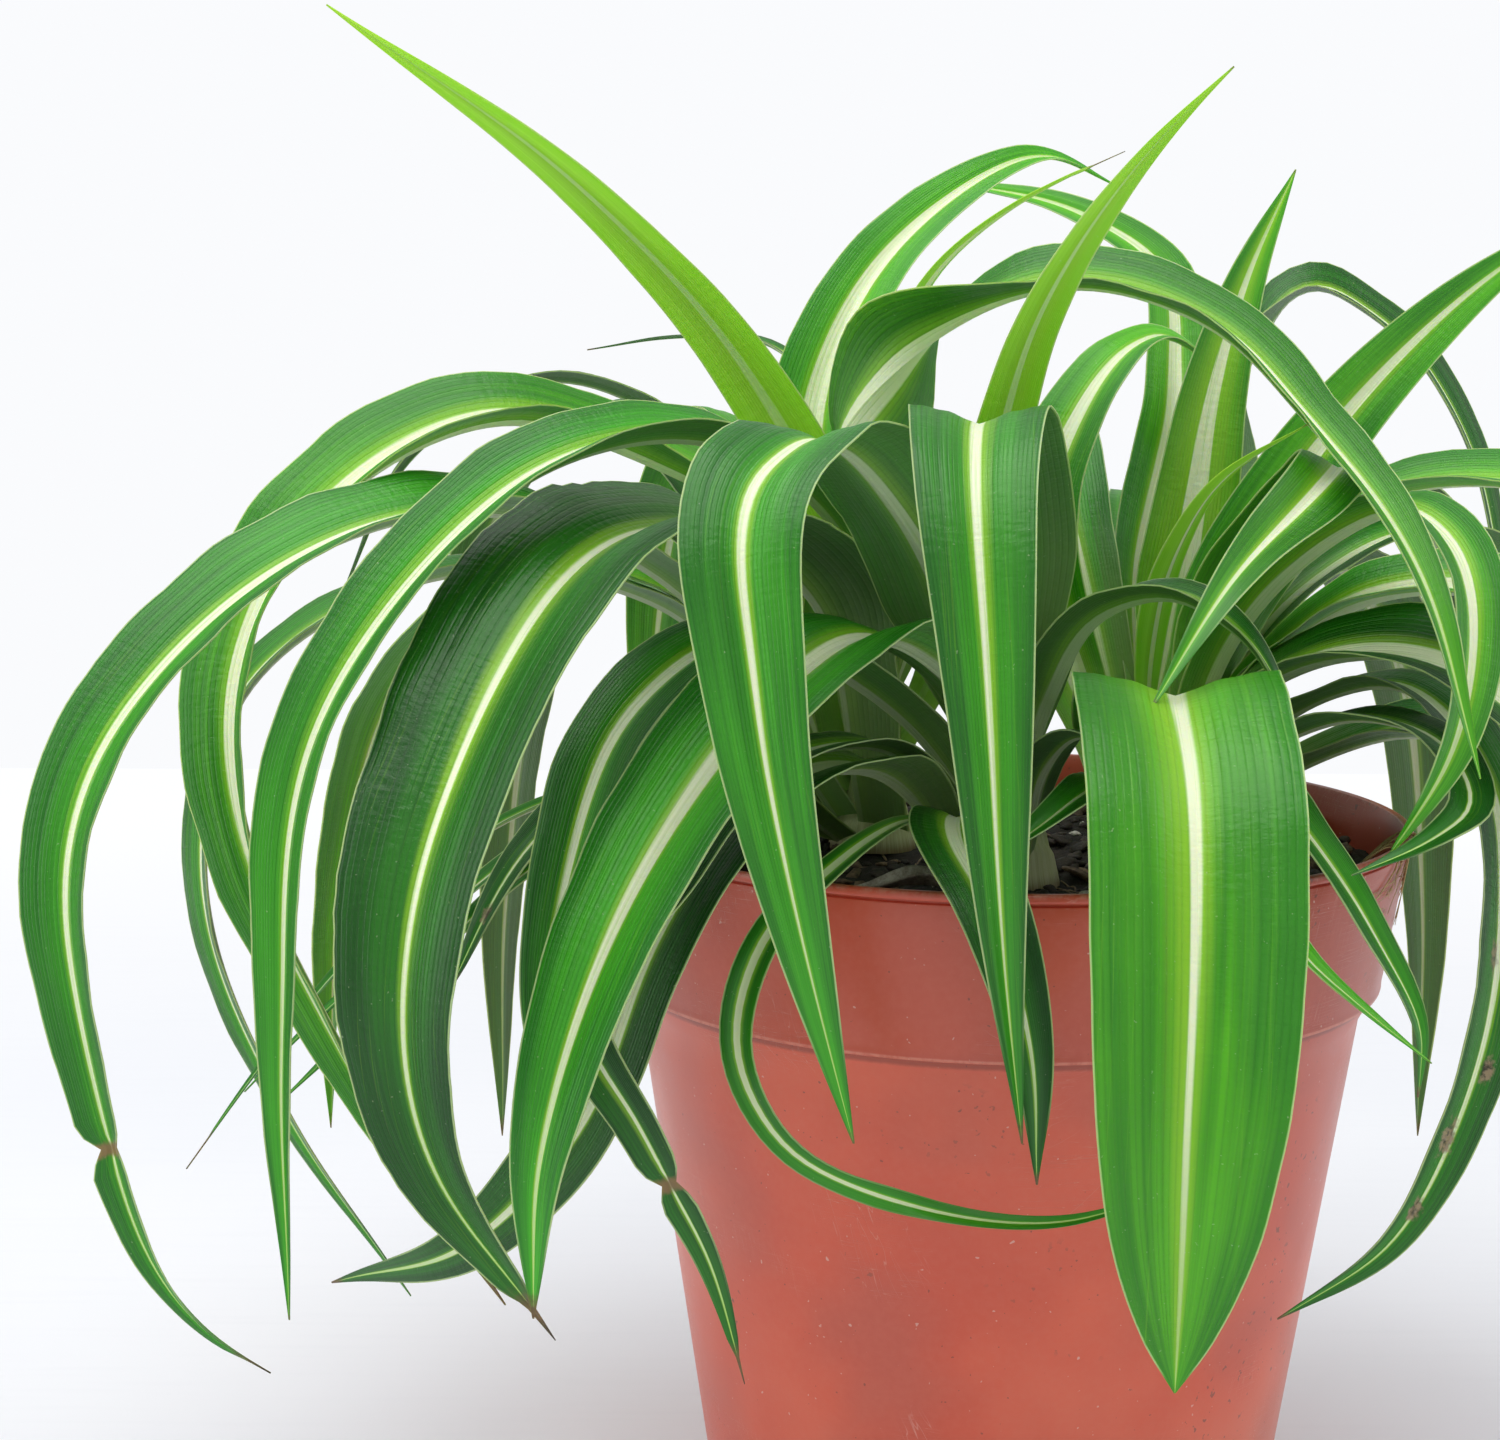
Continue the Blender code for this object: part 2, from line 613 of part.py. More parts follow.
def moved_route(knots, move, tip_share):
    """Shift a leaf's route, fully near its base and by tip_share at its tip."""
    last = len(knots) - 1
    moved = [knots[0]]
    for index in range(1, last + 1):
        weight = 1 + (tip_share - 1) * (index - 1) / (last - 1)
        moved.append(knots[index] + move * weight)
    return moved


def shape_tree(points, faces):
    return BVHTree.FromPolygons([Vector(p) for p in points], faces, epsilon=0.0)


def make_leaf(name, spec, standing):
    """Build one leaf on the first of the nudged routes that is clear of what already stands."""
    options = (
        spec["width"],
        spec["face"],
        spec.get("roll", (0, 0, 0)),
        spec.get("fold", 18),
        spec.get("blunt", 2.4),
        spec.get("full", 0.42),
    )
    knots = [Vector(k) for k in spec["route"]]
    x, y = CROWNS[spec["crown"]]
    heading = math.degrees(math.atan2(knots[0].y - y, knots[0].x - x))
    for swing in BASE_SWINGS:
        base = leaf_base(spec["crown"], spec["tier"], heading + swing)
        for move, tip_share in nudges():
            route = even_route(moved_route([base] + knots, move, tip_share))
            test = shape_tree(*leaf_shape(route, *options, grow=CLEARANCE))
            if not any(test.overlap(tree) for tree in standing):
                points, faces = leaf_shape(route, *options)
                standing.append(shape_tree(points, faces))
                material = make_material(f"{name}_blade", TONES[spec["tone"]], 0.4)
                return add_object(name, points, faces, material)
    raise RuntimeError(f"{name} has no clear place")


def back_leaves():
    """The arching leaves behind the plant, as name and entry."""
    for index, (crown, tier, heading, reach, crest, tip) in enumerate(BACK_ARCHES):
        yield f"leaf_back_{index + 1}", dict(
            crown=crown,
            tier=tier,
            width=17 + 3 * (index % 3),
            face=(heading, heading + 4, heading - 6),
            tone=("mature", "dark", "light")[index % 3],
            route=arch_route(crown, heading, reach, crest, tip),
        )


def object_tree(thing):
    """A search tree of an object's finished surface, in millimetres."""
    depsgraph = bpy.context.evaluated_depsgraph_get()
    mesh = thing.evaluated_get(depsgraph).to_mesh()
    points = [vertex.co / MM for vertex in mesh.vertices]
    return shape_tree(points, [tuple(polygon.vertices) for polygon in mesh.polygons])


def main():
    clear_scene()
    standing = [object_tree(thing) for thing in (make_pot(), make_soil())]
    standing += [object_tree(make_crown(key)) for key in CROWNS]
    for key, spec in LEAVES.items():
        make_leaf(f"leaf_{key}", spec, standing)
    for name, spec in back_leaves():
        make_leaf(name, spec, standing)


main()
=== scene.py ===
"""The looks of the potted spider plant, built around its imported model."""

import json
import math
import random

import bmesh
import bpy
import numpy as np
from mathutils import Euler, Matrix, Vector, noise


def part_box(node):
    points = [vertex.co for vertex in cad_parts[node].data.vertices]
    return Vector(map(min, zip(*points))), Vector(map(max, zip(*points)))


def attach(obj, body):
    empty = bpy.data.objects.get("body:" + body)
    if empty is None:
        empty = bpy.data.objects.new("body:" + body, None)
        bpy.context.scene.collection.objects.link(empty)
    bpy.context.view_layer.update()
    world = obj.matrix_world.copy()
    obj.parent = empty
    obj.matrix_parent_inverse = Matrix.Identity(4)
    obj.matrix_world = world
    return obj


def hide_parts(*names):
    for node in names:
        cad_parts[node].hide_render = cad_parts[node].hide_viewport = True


MM = 0.001
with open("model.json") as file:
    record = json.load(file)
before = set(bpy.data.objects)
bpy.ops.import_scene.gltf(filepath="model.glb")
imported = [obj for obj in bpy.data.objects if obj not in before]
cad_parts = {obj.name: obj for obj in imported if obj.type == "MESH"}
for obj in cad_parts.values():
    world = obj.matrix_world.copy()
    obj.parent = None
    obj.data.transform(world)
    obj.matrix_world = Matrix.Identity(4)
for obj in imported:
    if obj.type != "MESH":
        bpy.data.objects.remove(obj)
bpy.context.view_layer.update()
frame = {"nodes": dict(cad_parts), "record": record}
slot_of = {part["node"]: part["material_slot"] for part in frame["record"]["subparts"]}


# ---- Small helpers ----

def add_object(name, data):
    made = bpy.data.objects.new(name, data)
    bpy.context.scene.collection.objects.link(made)
    return made


def add_piece(name, mesh, material, *nodes, slot=None):
    """Put a finished mesh in the scene as a piece that rides on the plant's one body."""
    piece = add_object(name, mesh)
    mesh.materials.append(material)
    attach(piece, "root")
    if nodes:
        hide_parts(*nodes)


def new_mesh(name, points, faces):
    """A mesh from points in millimetres."""
    mesh = bpy.data.meshes.new(name)
    mesh.from_pydata([tuple(c * MM for c in p) for p in points], [], faces)
    return mesh


def capped_rings(name, points, segments, from_top=False):
    """A closed mesh from a pole, rings of points and another pole, in millimetres."""
    faces = []
    rings = (len(points) - 2) // segments
    last = 1 + (rings - 1) * segments
    for step in range(segments):
        after = (step + 1) % segments
        faces.append((0, 1 + after, 1 + step))
        for low in range(1, last, segments):
            high = low + segments
            faces.append((low + step, low + after, high + after, high + step))
        faces.append((last + step, last + after, len(points) - 1))
    if from_top:
        faces = [(face[0], *face[:0:-1]) for face in faces]
    return new_mesh(name, points, faces)


def store(mesh, key, rows):
    """Keep three numbers per point, for a material to read."""
    layer = mesh.attributes.new(key, "FLOAT_VECTOR", "POINT")
    layer.data.foreach_set("vector", np.array(rows, np.float32).ravel())


def polar(radius, angle, height):
    return radius * math.cos(angle), radius * math.sin(angle), height


def ease(value):
    value = np.clip(value, 0.0, 1.0)
    return value * value * (3 - 2 * value)


def natural_spline(places, values, wanted):
    """Natural cubic spline through rows of values, read at the wanted places."""
    places = np.asarray(places, float)
    values = np.asarray(values, float)
    if values.ndim == 1:
        values = values[:, None]
    count = len(places)
    step = np.diff(places)
    system = np.eye(count)
    right = np.zeros_like(values)
    for i in range(1, count - 1):
        system[i, i - 1] = step[i - 1]
        system[i, i] = 2 * (step[i - 1] + step[i])
        system[i, i + 1] = step[i]
        slope_after = (values[i + 1] - values[i]) / step[i]
        slope_before = (values[i] - values[i - 1]) / step[i - 1]
        right[i] = 6 * (slope_after - slope_before)
    bend = np.linalg.solve(system, right)
    spot = np.clip(np.searchsorted(places, wanted, side="right") - 1, 0, count - 2)
    h = step[spot][:, None]
    a = (places[spot + 1][:, None] - wanted[:, None]) / h
    b = (wanted[:, None] - places[spot][:, None]) / h
    return (
        a * values[spot]
        + b * values[spot + 1]
        + ((a**3 - a) * bend[spot] + (b**3 - b) * bend[spot + 1]) * h**2 / 6
    )


def even_spline(places, values, wanted):
    """Shape-keeping cubic through single values: it never overshoots them."""
    places = np.asarray(places, float)
    values = np.asarray(values, float)
    step = np.diff(places)
    slope = np.diff(values) / step
    tangent = np.zeros_like(values)
    tangent[0] = slope[0]
    tangent[-1] = slope[-1]
    for i in range(1, len(values) - 1):
        if slope[i - 1] * slope[i] > 0:
            w1 = 2 * step[i] + step[i - 1]
            w2 = step[i] + 2 * step[i - 1]
            tangent[i] = (w1 + w2) / (w1 / slope[i - 1] + w2 / slope[i])
    spot = np.clip(np.searchsorted(places, wanted, side="right") - 1, 0, len(places) - 2)
    t = (wanted - places[spot]) / step[spot]
    return (
        values[spot] * (2 * t**3 - 3 * t**2 + 1)
        + tangent[spot] * step[spot] * (t**3 - 2 * t**2 + t)
        + values[spot + 1] * (3 * t**2 - 2 * t**3)
        + tangent[spot + 1] * step[spot] * (t**3 - t**2)
    )


def unit(rows):
    return rows / np.maximum(np.linalg.norm(rows, axis=1, keepdims=True), 1e-12)


def wander(places, wave_lengths, seed):
    """A smooth random line: a few sine waves with random phases, about -1 to 1."""
    chance = random.Random(seed)
    total = np.zeros_like(places)
    for length in wave_lengths:
        stretch = length * chance.uniform(0.85, 1.2)
        total += np.sin(math.tau * (places / stretch + chance.random()))
    return total / len(wave_lengths)


# ---- Materials ----

class Graph:
    """A material's node tree, written as short calls."""

    def __init__(self, name, **settings):
        self.material = bpy.data.materials.new(name)
        self.material.use_nodes = True
        self.tree = self.material.node_tree
        self.shader = self.tree.nodes["Principled BSDF"]
        for key, value in settings.items():
            self.shader.inputs[key.replace("_", " ")].default_value = value

    def node(self, kind, inputs=(), output=0, **settings):
        made = self.tree.nodes.new("ShaderNode" + kind)
        for key, value in settings.items():
            setattr(made, key, value)
        for key, value in dict(inputs).items():
            self.put(made.inputs[key], value)
        return made.outputs[output]

    def put(self, socket, value):
        if isinstance(value, bpy.types.NodeSocket):
            self.tree.links.new(value, socket)
        elif socket.type == "RGBA" and len(value) == 3:
            socket.default_value = (*value, 1.0)
        else:
            socket.default_value = value

    def math(self, operation, a, b=0.0, c=0.0, clamp=False):
        inputs = {0: a, 1: b, 2: c}
        return self.node("Math", inputs, operation=operation, use_clamp=clamp)

    def add(self, a, b):
        return self.math("ADD", a, b)

    def minus(self, a, b):
        return self.math("SUBTRACT", a, b)

    def apart(self, a, b):
        """How far apart two values are."""
        return self.math("ABSOLUTE", self.minus(a, b))

    def scaled(self, value, factor, plus):
        return self.math("MULTIPLY_ADD", value, factor, plus)

    def times(self, a, b):
        return self.math("MULTIPLY", a, b)

    def smooth(self, value, low, high, to_low=0.0, to_high=1.0):
        """A smooth step from to_low to to_high as the value goes from low to high."""
        inputs = {"Value": value, "From Min": low, "From Max": high}
        inputs.update({"To Min": to_low, "To Max": to_high})
        return self.node("MapRange", inputs, interpolation_type="SMOOTHSTEP")

    def mix(self, share, a, b, blend="MIX"):
        inputs = {0: share, 6: a, 7: b}
        return self.node("Mix", inputs, 2, data_type="RGBA", blend_type=blend)

    def vector(self, x, y, z):
        return self.node("CombineXYZ", {0: x, 1: y, 2: z})

    def noise(self, vector, scale=1.0, detail=2.0, rough=0.5):
        inputs = {"Vector": vector, "Scale": scale, "Detail": detail, "Roughness": rough}
        return self.node("TexNoise", inputs)

    def streaks(self, x, x_scale, y, y_scale, z, detail=2.0, rough=0.5):
        """Noise with its own scale along each of two numbers."""
        place = self.vector(self.times(x, x_scale), self.times(y, y_scale), z)
        return self.noise(place, 1.0, detail, rough)

    def shifted(self, place, *distance):
        return self.node("VectorMath", {0: place, 1: distance})

    def parts(self, name):
        """The three numbers of a mesh's vector attribute."""
        return self.split(self.node("Attribute", output="Vector", attribute_name=name))

    def split(self, vector):
        split = self.tree.nodes.new("ShaderNodeSeparateXYZ")
        self.tree.links.new(vector, split.inputs[0])
        return split.outputs[0], split.outputs[1], split.outputs[2]

    def place(self):
        """The point's own coordinates in millimetres."""
        own = self.node("TexCoord", output="Object")
        return self.node("VectorMath", {0: own, "Scale": 1000.0}, operation="SCALE")

    def bump(self, height, millimetres=1.0, strength=1.0):
        inputs = {"Height": height, "Distance": millimetres * MM, "Strength": strength}
        self.put(self.shader.inputs["Normal"], self.node("Bump", inputs))

    def finish(self, colour, rough=None):
        self.put(self.shader.inputs["Base Color"], colour)
        if rough is not None:
            self.put(self.shader.inputs["Roughness"], rough)
        return self.material


CREAM = (0.80, 0.88, 0.60)
HALO = (0.30, 0.58, 0.025)
DRY = (0.23, 0.13, 0.055)
DRY_DARK = (0.035, 0.022, 0.014)
UNDER = (0.14, 0.25, 0.10)
MARGIN = (0.46, 0.60, 0.27)

# Per tone: deep green, lighter green, roughness.
TONES = {
    "leaf_dark": ((0.004, 0.065, 0.003), (0.018, 0.185, 0.005), 0.33),
    "leaf_mature": ((0.009, 0.135, 0.004), (0.045, 0.345, 0.008), 0.34),
    "leaf_light": ((0.024, 0.235, 0.003), (0.110, 0.500, 0.008), 0.35),
    "leaf_young": ((0.260, 0.600, 0.015), (0.430, 0.760, 0.070), 0.37),
}


def leaf_material(name, slot, look):
    """A striped blade: cream band, yellow-green halo, green flanks, fine veins, pale margins."""
    deep, light, rough = TONES[slot]
    deep = tuple(c * look["shade"] for c in deep)
    light = tuple(c * look["shade"] for c in light)
    g = Graph(name, Subsurface_Weight=look["glow"], Subsurface_Scale=MM, Specular_IOR_Level=0.38)
    g.shader.inputs["Subsurface Radius"].default_value = (0.7, 1.0, 0.1)
    seed = random.Random(name).uniform(0, 90)
    across, along, upper = g.parts("blade_share")
    x, y, half = g.parts("blade_mm")

    # Long, thin streaks that follow the blade, and slow changes along it.
    streak = g.streaks(across, 10.0, y, 0.011, seed, 2.5, 0.6)
    hair = g.streaks(x, 3.4, y, 0.035, seed + 7, 2.0, 0.5)
    cloud = g.streaks(across, 0.9, y, 0.022, seed + 3, 2.0, 0.5)
    drift = g.noise(g.vector(g.times(y, 0.018), seed, 4.0), 1.0, 1.0, 0.5)

    centre = g.scaled(drift, 0.10, look["offset"] - 0.05)
    from_centre = g.minus(across, centre)
    distance = g.math("ABSOLUTE", from_centre)
    distance = g.add(distance, g.scaled(streak, 0.11, -0.055))
    reach = g.smooth(along, 0.0, 0.95, look["stripe"] * 1.30, look["stripe"] * 0.50)
    band = g.smooth(g.minus(distance, reach), -0.020, 0.020, 1.0, 0.0)
    halo_side = g.smooth(from_centre, -0.05, 0.05, look["halo_left"], look["halo_right"])
    halo_side = g.times(halo_side, g.smooth(along, 0.1, 1.0, 1.35, 0.35))
    halo_share = g.math("DIVIDE", g.minus(distance, reach), halo_side)
    halo = g.smooth(g.scaled(streak, 0.6, halo_share), 0.1, 1.3, 0.88, 0.0)

    flank = g.scaled(streak, 0.7, cloud)
    flank = g.smooth(g.scaled(distance, -0.45, flank), 0.30, 0.95)
    colour = g.mix(flank, deep, light)
    colour = g.mix(halo, colour, HALO)
    # A few pale hairlines in the green.
    lines = g.times(g.smooth(hair, 0.60, 0.74, 0.0, 0.24), g.smooth(half, 0.8, 3.0))
    colour = g.mix(lines, colour, g.mix(0.45, light, HALO))
    # Fine dark veins, evenly spaced and closing up towards the tip.
    veins = g.math("SINE", g.times(across, math.pi * VEINS))
    veins = g.math("POWER", g.math("ABSOLUTE", veins), 9.0)
    veins = g.times(veins, g.smooth(half, 1.2, 4.0))
    vein_share = g.times(veins, g.smooth(upper, 0.0, 1.0, 0.38, 0.20))
    colour = g.mix(vein_share, colour, g.mix(0.55, colour, (0.004, 0.03, 0.004)))
    # The cream band carries faint green lines of its own.
    cream = g.mix(g.smooth(hair, 0.52, 0.72, 0.0, look["band_lines"]), CREAM, HALO)
    cream = g.mix(g.smooth(along, 0.70, 1.0, 0.0, 0.75), cream, HALO)
    colour = g.mix(g.times(band, look["band"]), colour, cream)
    # The sheath near the crown is pale.
    pale = g.smooth(g.scaled(streak, 0.08, along), 0.06, 0.34, look["pale"], 0.0)
    colour = g.mix(pale, colour, (0.46, 0.66, 0.20))
    # Underside: paler and greyer, the band still showing through.
    under = g.minus(1.0, upper)
    under_colour = g.mix(look["grey_under"], colour, UNDER)
    colour = g.mix(under, colour, under_colour)
    # Thin pale margins.
    to_edge = g.times(g.minus(1.0, g.math("ABSOLUTE", across)), half)
    margin = g.smooth(g.scaled(hair, 0.12, to_edge), 0.17, 0.34, 0.75, 0.0)
    margin = g.times(margin, g.smooth(half, 1.0, 2.6))
    colour = g.mix(margin, colour, MARGIN)
    # Small pale flecks and dust.
    dust = g.streaks(x, 2.2, y, 2.2, seed, 1.0, 0.5)
    dust = g.times(g.smooth(dust, 0.74, 0.80, 0.0, 0.25), g.smooth(half, 1.0, 3.0))
    colour = g.mix(dust, colour, (0.55, 0.62, 0.42))
    # Scars, nodes and the dry tip.
    blot = g.streaks(x, 0.8, y, 0.8, seed + 1, 3.0, 0.6)
    for spot_along, spot_across, size in look["scars"]:
        dx = g.times(g.minus(across, spot_across), half)
        dy = g.minus(y, spot_along * look["length"])
        far = g.math("SQRT", g.add(g.times(dx, dx), g.times(g.times(dy, dy), 0.35)))
        far = g.scaled(blot, -size * 1.5, far)
        edge = g.smooth(far, -size * 0.35, size * 0.25, 0.95, 0.0)
        colour = g.mix(edge, colour, g.mix(g.smooth(blot, 0.4, 0.6), DRY_DARK, (0.30, 0.22, 0.13)))
    for knot in look["kinks"]:
        off = g.apart(y, knot * look["length"])
        off = g.scaled(blot, 1.2, off)
        colour = g.mix(g.smooth(off, 1.0, 1.9, 0.9, 0.0), colour, DRY)
    end = look["dry"] + 0.02
    tip = g.scaled(g.add(streak, blot), 0.02, along)
    colour = g.mix(g.smooth(tip, end, end + 0.02), colour, g.mix(blot, DRY, DRY_DARK))
    if look["dark_tip"]:
        colour = g.mix(g.smooth(tip, 1.0, 1.02), colour, DRY_DARK)

    # Relief: veins, shallow cross puckers and a fine satin grain.
    pucker = g.streaks(x, 0.55, y, 1.3, seed, 2.0, 0.5)
    grain = g.streaks(x, 5.0, y, 5.0, seed, 1.0, 0.5)
    height = g.times(veins, -0.045)
    height = g.scaled(pucker, 0.16, height)
    height = g.scaled(grain, 0.018, height)
    height = g.scaled(streak, 0.09, height)
    g.bump(g.times(height, g.smooth(half, 1.2, 5.0, 0.10, 1.0)), 1.0, 0.85)
    satin = g.scaled(pucker, 0.14, rough - 0.07)
    satin = g.scaled(under, 0.14, satin)
    return g.finish(colour, satin)


def pot_material(foot, top):
    """Terracotta polypropylene: satin, with specks, hairline scratches and a little dust.

    foot and top are the heights of the collar's lower edge and of the mouth, in millimetres.
    """
    g = Graph("pot_plastic", Subsurface_Weight=0.06, Subsurface_Scale=MM, Specular_IOR_Level=0.6)
    g.shader.inputs["Subsurface Radius"].default_value = (1.6, 0.5, 0.3)
    place = g.place()
    height = g.split(place)[2]
    cloud = g.noise(place, 0.022, 3.0, 0.55)
    blotch = g.noise(g.shifted(place, 70, 20, 11), 0.034, 2.0, 0.5)
    fine = g.noise(place, 0.9, 3.0, 0.6)
    colour = g.mix(g.smooth(cloud, 0.35, 0.7), (0.60, 0.080, 0.036), (0.72, 0.116, 0.052))
    # The wall has warmer and duller areas; above the collar's foot the colour is painted darker,
    # as shade from the leaves above it.
    colour = g.mix(g.smooth(blotch, 0.42, 0.66, 0.0, 0.5), colour, (0.44, 0.098, 0.066))
    collar_painted_shade = g.smooth(height, foot - 0.1, foot + 0.1, 0.0, 0.45)
    colour = g.mix(collar_painted_shade, colour, (0.40, 0.055, 0.030))
    colour = g.mix(g.smooth(fine, 0.3, 0.8, 0.0, 0.14), colour, (0.66, 0.18, 0.115))
    # Pale specks, dark specks, and scratches in two directions.
    specks = g.noise(place, 1.25, 1.0, 0.4)
    colour = g.mix(g.smooth(specks, 0.765, 0.80, 0.0, 0.55), colour, (0.72, 0.52, 0.45))
    flecks = g.noise(g.shifted(place, 31, 7, 5), 1.6, 1.0, 0.4)
    colour = g.mix(g.smooth(flecks, 0.775, 0.80, 0.0, 0.6), colour, (0.10, 0.03, 0.02))
    scratches = 0.0
    upright = {"Rotation": (0.3, 0.5, 0.2), "Scale": (0.05, 0.05, 1.6)}
    slanted = {"Rotation": (1.2, 0.4, 0.9), "Scale": (0.04, 1.3, 0.05)}
    for direction in (upright, slanted):
        lines = g.noise(g.node("Mapping", {"Vector": place, **direction}), 1.0, 2.0, 0.5)
        patch = g.noise(g.shifted(place, 9, 3, 60), 0.05, 1.0, 0.5)
        thin = g.smooth(g.apart(lines, 0.5), 0.0, 0.006, 1.0, 0.0)
        thin = g.times(thin, g.smooth(patch, 0.52, 0.64))
        scratches = g.math("MAXIMUM", scratches, thin)
    colour = g.mix(g.times(scratches, 0.38), colour, (0.74, 0.42, 0.35))
    # Small dried splashes, in a few clusters.
    group = g.noise(g.shifted(place, 5, 90, 40), 0.045, 1.0, 0.4)
    splash = g.noise(g.shifted(place, 3, 8, 21), 0.7, 2.0, 0.55)
    splash = g.times(g.smooth(splash, 0.655, 0.69), g.smooth(group, 0.60, 0.68))
    colour = g.mix(g.times(splash, 0.7), colour, (0.16, 0.055, 0.035))
    # Dirt and painted shade in the corner under the collar, and a pale line along its edge that is
    # partly rubbed wear and partly painted highlight.
    crease_dirt_and_shade = g.apart(height, foot - 0.55)
    crease_dirt_and_shade = g.scaled(fine, 0.25, crease_dirt_and_shade)
    colour = g.mix(g.smooth(crease_dirt_and_shade, 0.25, 0.95, 0.55, 0.0), colour, (0.15, 0.030, 0.018))
    rubbed_and_highlight = g.apart(height, foot + 0.30)
    rubbed_and_highlight = g.times(g.smooth(rubbed_and_highlight, 0.10, 0.34, 0.65, 0.0), g.smooth(fine, 0.3, 0.6, 0.4, 1.0))
    colour = g.mix(rubbed_and_highlight, colour, (0.72, 0.27, 0.19))
    # Dust gathers low on the pot; the mouth is scuffed.
    dust = g.times(g.smooth(height, 0.0, 60.0, 0.22, 0.0), g.smooth(cloud, 0.4, 0.7))
    colour = g.mix(dust, colour, (0.52, 0.36, 0.28))
    mouth = g.times(g.smooth(height, top - 0.8, top - 0.1, 0.0, 0.35), g.smooth(fine, 0.35, 0.65))
    colour = g.mix(mouth, colour, (0.66, 0.34, 0.27))
    relief = g.scaled(g.noise(place, 2.6, 2.0, 0.5), 0.010, g.times(scratches, -0.03))
    relief = g.scaled(g.noise(place, 0.09, 1.0, 0.5), 0.35, relief)
    g.bump(relief, 1.0, 0.6)
    rough = g.scaled(fine, 0.12, 0.27)
    rough = g.scaled(scratches, 0.15, rough)
    return g.finish(colour, rough)


def soil_material():
    g = Graph("potting_soil")
    place = g.place()
    clod = g.noise(place, 0.35, 4.0, 0.65)
    grit = g.noise(place, 1.6, 4.0, 0.7)
    colour = g.mix(g.smooth(clod, 0.35, 0.7), (0.008, 0.006, 0.005), (0.030, 0.021, 0.014))
    colour = g.mix(g.smooth(grit, 0.56, 0.72, 0.0, 0.6), colour, (0.085, 0.058, 0.036))
    colour = g.mix(g.smooth(grit, 0.74, 0.78, 0.0, 0.7), colour, (0.30, 0.25, 0.19))
    g.bump(g.add(g.times(grit, 0.7), clod), 0.8, 0.9)
    return g.finish(colour, g.scaled(grit, 0.2, 0.78))


def fibre_material(name, dark, light):
    """Peat crumbs, bark, roots: one family, told apart by its two colours."""
    g = Graph(name)
    place = g.place()
    patch = g.noise(place, 0.45, 3.0, 0.6)
    grain = g.noise(place, 3.0, 3.0, 0.6)
    colour = g.mix(g.smooth(g.scaled(grain, 0.5, patch), 0.55, 0.95), dark, light)
    g.bump(grain, 0.25, 0.8)
    return g.finish(colour, g.scaled(grain, 0.25, 0.55))


def crown_material():
    """Pale overlapping sheaths, greener upwards and browned at the soil."""
    g = Graph("crown_flesh", Subsurface_Weight=0.15, Subsurface_Scale=MM)
    g.shader.inputs["Subsurface Radius"].default_value = (1.0, 1.2, 0.4)
    turn, rise, layer = g.parts("crown_place")
    rib = g.streaks(turn, 26.0, rise, 1.3, layer, 3.0, 0.6)
    colour = g.mix(g.smooth(rise, 0.15, 0.9), (0.56, 0.60, 0.30), (0.22, 0.42, 0.06))
    colour = g.mix(g.smooth(rib, 0.4, 0.7, 0.0, 0.5), colour, (0.72, 0.76, 0.50))
    low = g.smooth(g.scaled(rib, 0.12, rise), 0.05, 0.20, 0.85, 0.0)
    colour = g.mix(low, colour, (0.16, 0.085, 0.035))
    g.bump(rib, 0.18, 0.8)
    return g.finish(colour, g.scaled(rib, 0.2, 0.40))


BACKDROP = (0.956, 0.965, 0.985)


def floor_material():
    """Pale painted board with very faint grain, which also glows as painted light, more with
    distance.
    """
    g = Graph("floor_paint_and_glow")
    place = g.place()
    cloud = g.noise(place, 0.006, 3.0, 0.5)
    grain = g.noise(g.node("Mapping", {"Vector": place, "Scale": (0.02, 0.4, 0.4)}), 1.0, 3.0, 0.6)
    colour = g.mix(g.smooth(cloud, 0.3, 0.7), (0.80, 0.82, 0.87), (0.84, 0.855, 0.89))
    colour = g.mix(g.smooth(grain, 0.5, 0.75, 0.0, 0.12), colour, (0.72, 0.74, 0.79))
    # Painted light: the floor glows a little near the plant, lifting its shadows, and more with
    # distance, its own colour darkening as it fades into the backdrop.
    away = g.node("VectorMath", {0: place}, "Value", operation="LENGTH")
    glow_start, glow_end = 120.0, 680.0
    far = g.smooth(away, glow_start, glow_end, 0.12, 0.93)
    g.put(g.shader.inputs["Emission Color"], BACKDROP)
    g.put(g.shader.inputs["Emission Strength"], far)
    colour = g.mix(far, colour, (0.02, 0.02, 0.02))
    g.shader.inputs["Specular IOR Level"].default_value = 0.2
    g.bump(grain, 0.05, 0.3)
    return g.finish(colour, g.scaled(grain, 0.1, 0.5))


# ---- Leaves ----

VEINS = 13  # a side
DEFAULT_LOOK = dict(
    stripe=0.13, offset=0.0, halo_left=0.20, halo_right=0.20, band=1.0, band_lines=0.35,
    pale=0.55, shade=1.0, ripple=0.45, fine_ripple=0.0, dry=0.985, dark_tip=False,
    scars=(), kinks=(), pleat=0.22, glow=0.25, grey_under=0.5, sheath=0.55,
)

